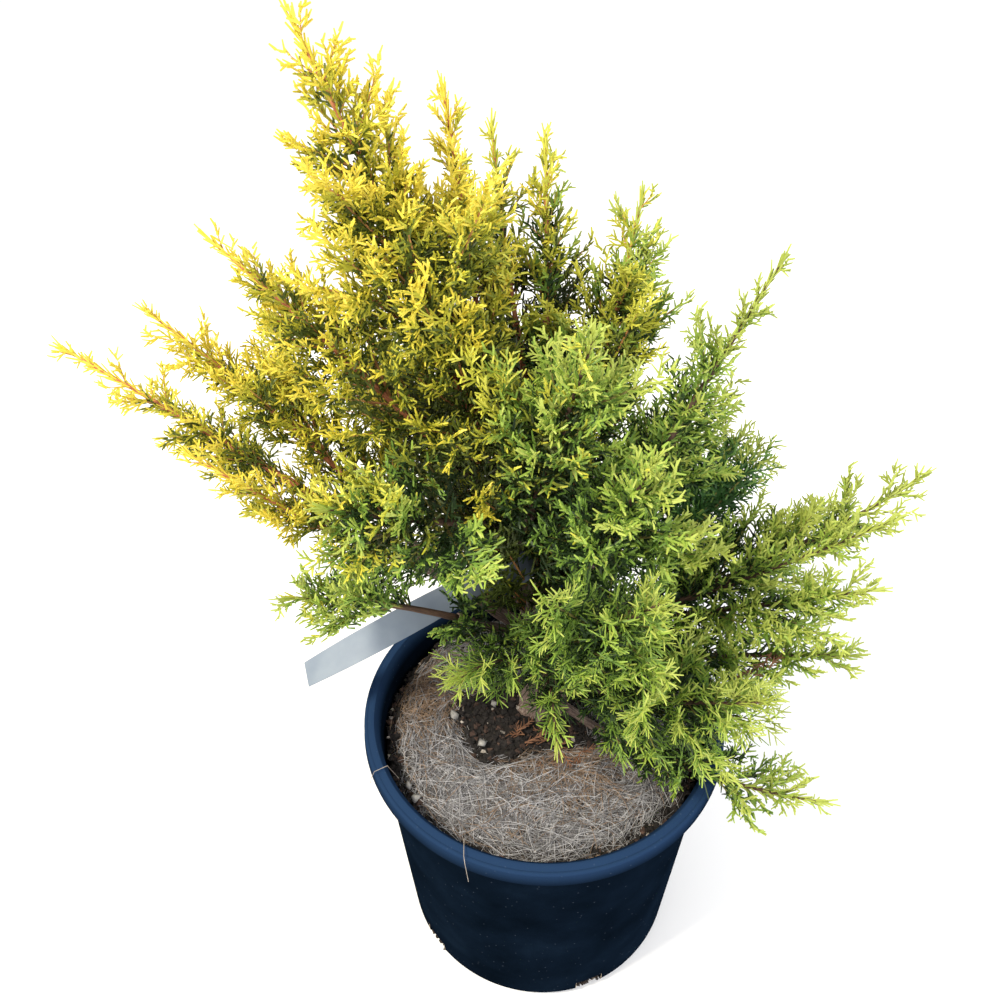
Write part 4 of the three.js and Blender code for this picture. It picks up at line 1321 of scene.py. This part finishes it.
def lathe(profile, sides):
    """A closed turned body from (radius, height) points that start and end on the axis."""
    angles = np.arange(sides) * 2 * math.pi / sides
    inner = profile[1:-1]
    rings = np.array([
        [(radius * math.cos(angle), radius * math.sin(angle), height) for angle in angles]
        for radius, height in inner
    ]).reshape(-1, 3)
    points = np.concatenate([[(0, 0, profile[0][1])], rings, [(0, 0, profile[-1][1])]])
    faces = []
    for step in range(sides):
        beside = (step + 1) % sides
        faces.append((0, 1 + beside, 1 + step))
        for ring in range(len(inner) - 1):
            here = 1 + ring * sides
            faces.append((here + step, here + beside, here + sides + beside))
            faces.append((here + step, here + sides + beside, here + sides + step))
        here = 1 + (len(inner) - 1) * sides
        faces.append((here + step, here + beside, len(points) - 1))
    return points, np.array(faces)


def arc(radius, height, size, start, end, steps):
    """Points of a round stretch of a profile: its centre, its own radius, and its angles."""
    places = []
    for step in range(steps + 1):
        angle = math.radians(lerp(start, end, step / steps))
        places.append((radius + size * math.cos(angle), height + size * math.sin(angle)))
    return places


def pot_profile():
    """Half a section through the pot, from the middle of its underside round to its floor."""
    corner = WALL_FOOT_RADIUS - FOOT_CORNER_RADIUS
    band = POT_HEIGHT - RIM_BAND_HEIGHT
    neck = WALL_TOP_RADIUS - NECK_INSET
    hollow = neck + BAND_HOLLOW_RADIUS
    bead = RIM_RADIUS - BEAD_RADIUS - BEAD_INSET
    return [
        (0, 0),
        *arc(corner, FOOT_CORNER_RADIUS, FOOT_CORNER_RADIUS, -90, 0, steps=10),
        # The top of the wall, the hollow under the rim's band, and the band.
        (neck, band - NECK_DROP),
        *arc(hollow, band - BAND_HOLLOW_DROP, BAND_HOLLOW_RADIUS, 180, 90, steps=3)[1:],
        *arc(RIM_RADIUS - BAND_FOOT_RADIUS, band + 2, BAND_FOOT_RADIUS, -90, 0, steps=5),
        (RIM_RADIUS - BAND_DRAFT, POT_HEIGHT - BAND_TOP_DROP),
        # The bead on the rim's edge, its low crown, and the slope inside it.
        *arc(bead, POT_HEIGHT - BEAD_RADIUS - BEAD_DROP, BEAD_RADIUS, -20, 120, steps=8),
        *arc(RIM_RADIUS - CROWN_INSET, POT_HEIGHT - CROWN_DROP, CROWN_RADIUS, 80, 100, steps=3),
        (RIM_INNER_RADIUS + 3, POT_HEIGHT - 2.5),
        (RIM_INNER_RADIUS + 0.5, POT_HEIGHT - 5),
        (RIM_INNER_RADIUS - 1, band - 3),
        # The inside of the foot.
        *arc(corner, FOOT_CORNER_RADIUS, FOOT_CORNER_RADIUS - WALL_THICKNESS, 0, -90, steps=8),
        (0, FLOOR_THICKNESS),
    ]


def build_pot():
    """The turned pot, with its drain slots cut through the foot of the wall."""
    shape = lathe(pot_profile(), POT_SIDES)
    pot = piece("pot_shell", shape, pot_material(), ["pot"], smooth=True)
    size = Matrix.Diagonal((
        DRAIN_DEPTH * 2 * METRES, DRAIN_WIDTH * METRES, DRAIN_HEIGHT * 2 * METRES, 1,
    ))
    shift = Matrix.Translation((WALL_FOOT_RADIUS * METRES, 0, 0))
    for bearing in DRAIN_BEARINGS:
        bpy.ops.mesh.primitive_cube_add(size=1)
        cutter = bpy.context.active_object
        cutter.data.transform(Matrix.Rotation(bearing, 4, "Z") @ shift @ size)
        cut = pot.modifiers.new("slot", "BOOLEAN")
        cut.object = cutter
        cut.operation = "DIFFERENCE"
        bpy.context.view_layer.objects.active = pot
        bpy.ops.object.modifier_apply(modifier="slot")
        bpy.data.objects.remove(cutter)
    smooth_by_angle(pot, degrees=40)


def smooth_by_angle(made, degrees):
    """Smooth shading, with edges sharper than an angle kept crisp."""
    mesh = made.data
    mesh.polygons.foreach_set("use_smooth", np.full(len(mesh.polygons), True))
    mesh.set_sharp_from_angle(angle=math.radians(degrees))


def wall_foot_radius(height):
    """The pot's outer radius near its rounded bottom corner."""
    below = np.maximum(0, FOOT_CORNER_RADIUS - height)
    return WALL_FOOT_RADIUS - FOOT_CORNER_RADIUS + np.sqrt(FOOT_CORNER_RADIUS ** 2 - below ** 2)


def slot_places(bearing, inset, over, height):
    """Points in a drain slot: inset from the wall's face, over to one side, and at a height."""
    out = wall_foot_radius(height) - inset
    places_x = out * math.cos(bearing) - over * math.sin(bearing)
    places_y = out * math.sin(bearing) + over * math.cos(bearing)
    return np.stack([places_x, places_y, height], axis=-1)


def fill_slots():
    """Dark soil in the drain slots, fine whitish roots on it, and roots round each slot's edge.
    Places across a slot and up it are shares of its width and height until they are multiplied."""
    random = np.random.default_rng(51)
    steps = SLOT_ROOT_POINTS
    side = np.full(steps, 0.49)
    rise = np.linspace(0.3, 0.98, steps)
    edges = np.array([np.linspace(-0.5, 0.5, steps), -side, side]) * DRAIN_WIDTH
    edge_heights = np.array([np.full(steps, 0.98), rise, rise]) * DRAIN_HEIGHT
    clods = []
    roots = []
    for bearing in DRAIN_BEARINGS:
        over = random.uniform(-0.46, 0.46, SLOT_CLODS) * DRAIN_WIDTH
        height = lerp(1.5, DRAIN_HEIGHT - 0.5, random.uniform(0, 1, SLOT_CLODS) ** 1.6)
        clods.append(slot_places(bearing, random.uniform(*CLOD_INSETS, SLOT_CLODS), over, height))
        slant = np.linspace(-0.2, 0.2, steps) * random.choice([-1, 1], (SLOT_ROOTS, 1))
        over = random.uniform(-0.45, 0.45, (SLOT_ROOTS, 1)) + slant
        height = random.uniform(0.15, 0.95, (SLOT_ROOTS, 1)) + random.normal(0, 0.07, (SLOT_ROOTS, steps))
        over = np.clip(over, -0.48, 0.48) * DRAIN_WIDTH
        height = np.clip(height, 0.1, 0.97) * DRAIN_HEIGHT
        roots.append(slot_places(bearing, random.uniform(*SLOT_ROOT_INSETS, (SLOT_ROOTS, 1)), over, height))
        height = edge_heights + random.normal(0, 0.25, edges.shape)
        roots.append(slot_places(bearing, np.full((len(edges), 1), 0.5), edges, height))
    clods = np.concatenate(clods)
    roots = np.concatenate(roots)
    dark = peat_material("slot_soil", [(0.3, "#0f0b09"), (0.6, "#2a1f18"), (0.8, "#4a382b")])
    sizes = random.uniform(*CLOD_SIZES, len(clods))
    clods[:, 2] = np.maximum(clods[:, 2], sizes + 0.5)
    piece("slot_soil", lumps(clods, sizes, random, squash=0.8), dark)
    pale = dry_material("fine_roots", [(0.3, "#756857"), (0.7, "#b8ab97")])
    radii = random.uniform(*SLOT_ROOT_RADII, (len(roots), steps))
    piece("slot_roots", tubes(roots, radii, sides=4), pale)


# Coir mat and soil

def closed_curve(corners, steps=8):
    """A smooth closed line through corners."""
    corners = np.array(corners, float)
    count = len(corners)
    places = []
    for index in range(count):
        before, here, after, beyond = (corners[(index + shift) % count] for shift in (-1, 0, 1, 2))
        for step in range(steps):
            t = step / steps
            places.append(0.5 * (
                2 * here + (after - before) * t + (2 * before - 5 * here + 4 * after - beyond) * t * t
                + (3 * here - before - 3 * after + beyond) * t ** 3
            ))
    return np.array(places)


TEAR_LINE = closed_curve(MAT_TEAR)


def distance_to_tear(spots):
    """Distance of each (x, y) outside the tear in the mat; negative inside it."""
    starts = TEAR_LINE
    lines = np.roll(TEAR_LINE, -1, axis=0) - starts
    offsets = spots[:, None] - starts[None]
    shares = np.clip((offsets * lines).sum(-1) / (lines * lines).sum(-1), 0, 1)
    distance = np.linalg.norm(offsets - shares[..., None] * lines, axis=-1).min(-1)
    above = starts[:, 1][None] > spots[:, 1][:, None]
    above_next = np.roll(starts[:, 1], -1)[None] > spots[:, 1][:, None]
    slope = lines[:, 0] / np.where(lines[:, 1] == 0, 1e-9, lines[:, 1])
    crossing = starts[:, 0][None] + (spots[:, 1][:, None] - starts[:, 1][None]) * slope[None]
    inside = ((above != above_next) & (spots[:, 0][:, None] < crossing)).sum(-1) % 2 == 1
    return np.where(inside, -distance, distance)


def mat_edge(spots):
    """Distance of each (x, y) inside the mat's outer edge."""
    bearing = np.arctan2(spots[:, 1], spots[:, 0])
    edge = MAT_RADIUS + MAT_WAVE * np.sin(MAT_WAVES * bearing + 1) - MAT_SLIP * np.cos(bearing)
    return edge - np.hypot(spots[:, 0], spots[:, 1])


def mat_height(spots):
    """Height of the mat's top above the soil, which falls away at its edges."""
    inside = np.minimum(distance_to_tear(spots), mat_edge(spots))
    fall = 1 - np.exp(-np.maximum(0, inside) / MAT_EDGE_FALL)
    return np.where(inside > 0, fall * (MAT_THICKNESS - MAT_DIP + MAT_RISE * waves(spots, 40, seed=5)), 0)


def height_field(radius, step, height):
    """A square grid cut to a disc, at heights given by a function of (x, y)."""
    ticks = np.arange(-radius, radius + step, step)
    grid_x, grid_y = np.meshgrid(ticks, ticks)
    spots = np.stack([grid_x.ravel(), grid_y.ravel()], axis=-1)
    points = np.column_stack([spots, height(spots)])
    count = len(ticks)
    row, column = np.meshgrid(np.arange(count - 1), np.arange(count - 1), indexing="ij")
    corner = (row * count + column).ravel()
    faces = np.concatenate([
        np.stack([corner, corner + 1, corner + count + 1], axis=-1),
        np.stack([corner, corner + count + 1, corner + count], axis=-1),
    ])
    inside = np.hypot(spots[:, 0], spots[:, 1]) < radius
    return points, faces[inside[faces].all(-1)]


def scattered(random, count, kept):
    """Random (x, y) places inside the pot for which kept is true."""
    radius = LITTER_RADIUS * np.sqrt(random.uniform(0, 1, count))
    bearing = random.uniform(0, 2 * math.pi, count)
    spots = np.stack([radius * np.cos(bearing), radius * np.sin(bearing)], axis=-1)
    return spots[kept(spots)]


def lumps(centres, sizes, random, squash):
    """Rough closed crumbs with eight faces each, turned every way and then squashed flatter."""
    corners = np.array([[1, 0, 0], [0, 1, 0], [-1, 0, 0], [0, -1, 0], [0, 0, 1], [0, 0, -1]], float)
    pattern = np.array([
        [0, 1, 4], [1, 2, 4], [2, 3, 4], [3, 0, 4], [1, 0, 5], [2, 1, 5], [3, 2, 5], [0, 3, 5],
    ])
    turn = random.uniform(0, 2 * math.pi, len(centres))
    uneven = random.uniform(0.6, 1.3, (len(centres), 6, 1))
    shape = corners[None] * uneven * sizes[:, None, None]
    tilt = unit(random.normal(size=(len(centres), 1, 3)))
    shape = turned(shape, np.broadcast_to(tilt, shape.shape), np.broadcast_to(turn[:, None], shape.shape[:2]))
    shape[..., 2] *= squash
    points = centres[:, None] + shape
    faces = pattern[None] + (np.arange(len(centres)) * 6)[:, None, None]
    return points.reshape(-1, 3), faces.reshape(-1, 3)


def soil_height(spots):
    """Height of the soil's uneven top at each (x, y)."""
    return SOIL_LEVEL + SOIL_LIFT + SOIL_RISE * waves(spots, 22, seed=9)


def build_soil():
    """The soil's crust, the crumbs, chips and grit on it, and pebbles that lie on the mat."""
    random = np.random.default_rng(21)
    dark = peat_material("soil_dark", [(0.3, "#080605"), (0.55, "#130e0b"), (0.8, "#261d17")], PACKED_CRUMB)
    # The packed soil stays as it is under the crust, in the same dark peat.
    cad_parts["potting_soil"].data.materials.clear()
    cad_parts["potting_soil"].data.materials.append(dark)
    crust = height_field(SOIL_RADIUS, SOIL_STEP, soil_height)
    piece("soil_crust", crust, dark, smooth=True)

    def bare(spots):
        return (distance_to_tear(spots) < BARE_TO_TEAR) | (mat_edge(spots) < BARE_TO_EDGE)

    for name, finish, count, least, most, stops in (
        ("soil_crumbs", crumb_material, 7000, 1, 3.8, [(0.3, "#0c0908"), (0.6, "#1b1512"), (0.8, "#3a2f28")]),
        ("soil_chips", crumb_material, 900, 1.6, 4.2, [(0.3, "#231813"), (0.6, "#453229"), (0.8, "#6d5749")]),
        ("soil_grit", stone_material, 220, 1.2, 3, [(0.3, "#7c746c"), (0.6, "#a8a098"), (0.8, "#c9c3bb")]),
    ):
        spots = scattered(random, count, bare)
        sizes = random.uniform(least, most, len(spots))
        centres = np.column_stack([spots, soil_height(spots) + sizes * LUMP_RISE])
        piece(name, lumps(centres, sizes, random, squash=0.7), finish(name, stops))
    stones = np.array(PEBBLES, float)
    bed = SOIL_LEVEL + MAT_THICKNESS - PEBBLE_BED
    centres = np.column_stack([stones[:, :2], bed + stones[:, 2] * LUMP_RISE])
    grey = stone_material("pebble_grey", [(0.3, "#6f6d6b"), (0.7, "#a3a09c")])
    piece("pebbles", lumps(centres, stones[:, 2], random, squash=0.8), grey, smooth=True)


def scatter_dead_sprays():
    """Dry orange-brown sprays: some dropped on the mat, and one caught in a low bough."""
    random = np.random.default_rng(41)
    rows = []
    for centre_x, centre_y, height, spread in DEAD_SPRAYS:
        count = spread // 2
        spots = random.normal(0, spread * 0.6, (count, 2)) + (centre_x, centre_y)
        rows.append(np.column_stack([spots, np.full(count, float(height))]))
    root = np.concatenate(rows)
    count = len(root)
    direction = unit(np.column_stack([random.normal(size=(count, 2)), random.normal(0, 0.12, count)]))
    across = unit(np.cross((0, 0, 1), direction))
    length = random.uniform(*DRY_LENGTHS, count)
    fallen = Shoots(root, direction, across, length, np.zeros(count, int), length * 0, np.arange(count))
    needles = sprout(fallen, random, *DRY_NEEDLES)
    shapes = [
        fingers_of(shoots.root, shoots.points_at(1), np.full(len(shoots.root), radius))
        for shoots, radius in ((fallen, DRY_STEM_RADIUS), (needles, DRY_NEEDLE_RADIUS))
    ]
    dry = dry_material("dry_needles", [(0.3, "#5a3d2c"), (0.6, "#80593f"), (0.8, "#a17c5a")])
    piece("fallen_sprays", joined(shapes), dry)


def fibre_paths(spots, heights, random):
    """Curved threads that lie over a surface: they start at spots and wander along it."""
    heading = random.uniform(0, 2 * math.pi, len(spots))
    curl = random.normal(0, FIBRE_BEND, len(spots))
    length = random.uniform(*FIBRE_LENGTHS, len(spots))
    lift = np.abs(random.normal(0, FIBRE_RISE, len(spots)))
    stride = (length / (FIBRE_STEPS - 1))[:, None]
    path = [spots]
    for _ in range(1, FIBRE_STEPS):
        heading = heading + curl
        path.append(path[-1] + stride * np.stack([np.cos(heading), np.sin(heading)], axis=-1))
    flat = np.stack(path, axis=1)
    top = heights(flat.reshape(-1, 2)).reshape(flat.shape[:2])
    arch = np.sin(np.linspace(0, math.pi, FIBRE_STEPS))[None] * lift[:, None]
    return np.concatenate([flat, (top + arch)[..., None]], axis=-1)


def brown_share(spots):
    """The share of the mat's fibres that is still brown at each (x, y)."""
    share = np.full(len(spots), BROWN_ELSEWHERE)
    for centre_x, centre_y, size in MAT_BROWN:
        away = np.hypot(spots[:, 0] - centre_x, spots[:, 1] - centre_y)
        share += np.exp(-(away / size) ** 2)
    return np.minimum(share, BROWN_MOST)


def build_mat():
    """The mat: a felt painted dark as shade, with pale, grey and brown fibres lying over it and over its
    edges.
    """
    random = np.random.default_rng(31)

    def top(spots):
        return SOIL_LEVEL + mat_height(spots)

    def felt(spots):
        return SOIL_LEVEL - FELT_DROP + mat_height(spots) + FELT_ROUGHNESS * waves(spots, 6, seed=12)

    def on_mat(spots):
        return (distance_to_tear(spots) > -FIBRES_PAST_TEAR) & (mat_edge(spots) > -FIBRES_PAST_EDGE)

    base = height_field(MAT_FIELD_RADIUS, MAT_STEP, felt)
    dark = felt_material("coir_under", [(0.3, "#1b1714"), (0.5, "#37312c"), (0.75, "#5a544e")])
    piece("coir_base", base, dark, ["coir_mat"], smooth=True)
    for name, count, radius, brown, stops in (
        ("coir_pale", 6400, 0.23, False, [(0.3, "#8d8c8e"), (0.7, "#b7b6b9")]),
        ("coir_grey", 4600, 0.25, False, [(0.3, "#5a5859"), (0.7, "#797779")]),
        ("coir_brown", 8000, 0.25, True, [(0.3, "#5c4a3b"), (0.7, "#9a826c")]),
    ):
        spots = scattered(random, count, on_mat)
        share = brown_share(spots)
        luck = random.uniform(0, 1, len(spots))
        spots = spots[luck < share] if brown else spots[luck > share]
        paths = fibre_paths(spots, top, random)
        inside = np.hypot(paths[..., 0], paths[..., 1]).max(-1) < LITTER_RADIUS
        off_tear = distance_to_tear(paths[..., :2].reshape(-1, 2)).reshape(paths.shape[:2])
        paths = paths[inside & (off_tear.min(-1) > -FIBRE_OVERHANG)]
        radii = radius * np.broadcast_to(FIBRE_THINNING, paths.shape[:2])
        piece(name, tubes(paths, radii, sides=3), coir_material(name, stops))
    loose = np.array(RIM_FIBRES, float)
    tan = coir_material("coir_loose", [(0.3, "#786e65"), (0.7, "#a3998e")])
    piece("coir_loose", tubes(loose, np.full(loose.shape[:2], RIM_FIBRE_RADIUS), sides=4), tan)


# Tag

def tag_path():
    """The middle of the strip in plan: from the tail's end to the neck, and round the loop."""
    radius = TAG_LOOP_RADIUS + TAG_THICKNESS / 2
    shoulder = math.acos(radius / TAG_NECK_LENGTH)
    tail = np.linspace(TAG_NECK_LENGTH + TAG_TAIL_LENGTH, TAG_NECK_LENGTH, TAG_STEPS)
    bearings = np.linspace(shoulder, 2 * math.pi - shoulder, TAG_LOOP_STEPS)
    loop = radius * np.stack([np.cos(bearings), np.sin(bearings)], axis=-1)
    end = np.array([[TAG_NECK_LENGTH - TAG_THICKNESS, -TAG_THICKNESS]])
    return np.concatenate([np.stack([tail, tail * 0], axis=-1), loop, end])


def build_tag():
    """The strip with four corners at each step of its path, its tail twisted towards the eye."""
    path = tag_path()
    along = unit(np.gradient(path, axis=0))
    normal = np.stack([-along[:, 1], along[:, 0]], axis=-1)
    corners = []
    for through, across in ((1, 1), (-1, 1), (-1, -1), (1, -1)):
        flat = path + normal * through * TAG_THICKNESS / 2
        corners.append(np.column_stack([flat, np.full(len(flat), across * TAG_WIDTH / 2)]))
    ring = np.stack(corners, axis=1)
    turn = TAG_TWIST * np.maximum(0, ring[..., 0] - TAG_NECK_LENGTH) / TAG_TAIL_LENGTH
    twisted = np.stack([
        ring[..., 0],
        ring[..., 1] * np.cos(turn) - ring[..., 2] * np.sin(turn),
        ring[..., 1] * np.sin(turn) + ring[..., 2] * np.cos(turn),
    ], axis=-1)
    points = (twisted @ TAG_AXES + TAG_CENTRE).reshape(-1, 3)
    faces = [(0, 1, 2), (0, 2, 3)]
    for step in range(len(path) - 1):
        for side in range(4):
            here = step * 4 + side
            beside = step * 4 + (side + 1) % 4
            faces += [(here, here + 4, beside + 4), (here, beside + 4, beside)]
    last = (len(path) - 1) * 4
    faces += [(last + 2, last + 1, last), (last + 3, last + 2, last)]
    tag = piece("tag_strip", (points, np.array(faces)), tag_material(), ["plant_tag"])
    smooth_by_angle(tag, degrees=35)


# Floor, light and camera

def build_stage():
    """A sheet of pale matt paper."""
    mesh = bpy.data.meshes.new("floor")
    half = FLOOR_HALF
    corners = [(-half, -half, 0), (half, -half, 0), (half, half, 0), (-half, half, 0)]
    mesh.from_pydata(corners, [], [(0, 1, 2, 3)])
    floor = bpy.data.objects.new("floor", mesh)
    bpy.context.scene.collection.objects.link(floor)
    floor.location.z = -FLOOR_DROP
    material = new_material("floor_paper")
    mesh.materials.append(finish_material(material, skin_of(material, colour("#fafafa"), 0.9)))


def add_light(name, place, size, power, tint):
    """A square lamp that faces the middle of the plant."""
    light = bpy.data.lights.new(name, "AREA")
    light.size = size
    light.energy = power
    light.color = colour(tint)[:3]
    lamp = bpy.data.objects.new(name, light)
    bpy.context.scene.collection.objects.link(lamp)
    lamp.location = place
    aim = Vector(LIGHTS_AIM) - lamp.location
    lamp.rotation_euler = aim.to_track_quat("-Z", "Y").to_euler()


def build_lights():
    for name, settings in LIGHTS.items():
        add_light(name, *settings)
    world = bpy.data.worlds.new("studio")
    bpy.context.scene.world = world
    world.use_nodes = True
    sky = world.node_tree.nodes["Background"]
    sky.inputs["Color"].default_value = colour("#ffffff")
    sky.inputs["Strength"].default_value = 1.0
    bpy.context.scene.view_settings.view_transform = "Standard"


def build_camera():
    """The photo's camera, turned by its yaw, pitch and roll."""
    forward = np.array([
        math.sin(CAMERA_YAW) * math.cos(CAMERA_PITCH),
        math.cos(CAMERA_YAW) * math.cos(CAMERA_PITCH),
        -math.sin(CAMERA_PITCH),
    ])
    level = unit(np.cross(forward, (0, 0, 1)))
    upward = np.cross(level, forward)
    right = level * math.cos(CAMERA_ROLL) + upward * math.sin(CAMERA_ROLL)
    up = -level * math.sin(CAMERA_ROLL) + upward * math.cos(CAMERA_ROLL)
    lens = bpy.data.cameras.new("camera")
    lens.lens = FOCAL_LENGTH
    lens.sensor_width = SENSOR_WIDTH
    lens.clip_start = 0.01
    camera = bpy.data.objects.new("camera", lens)
    bpy.context.scene.collection.objects.link(camera)
    turn = Matrix((right, up, -forward)).transposed().to_4x4()
    camera.matrix_world = Matrix.Translation(np.array(CAMERA_PLACE) * METRES) @ turn
    bpy.context.scene.camera = camera


grow_bark(grow_foliage())
build_pot()
build_soil()
build_mat()
scatter_dead_sprays()
fill_slots()
build_tag()
build_stage()
build_lights()
build_camera()
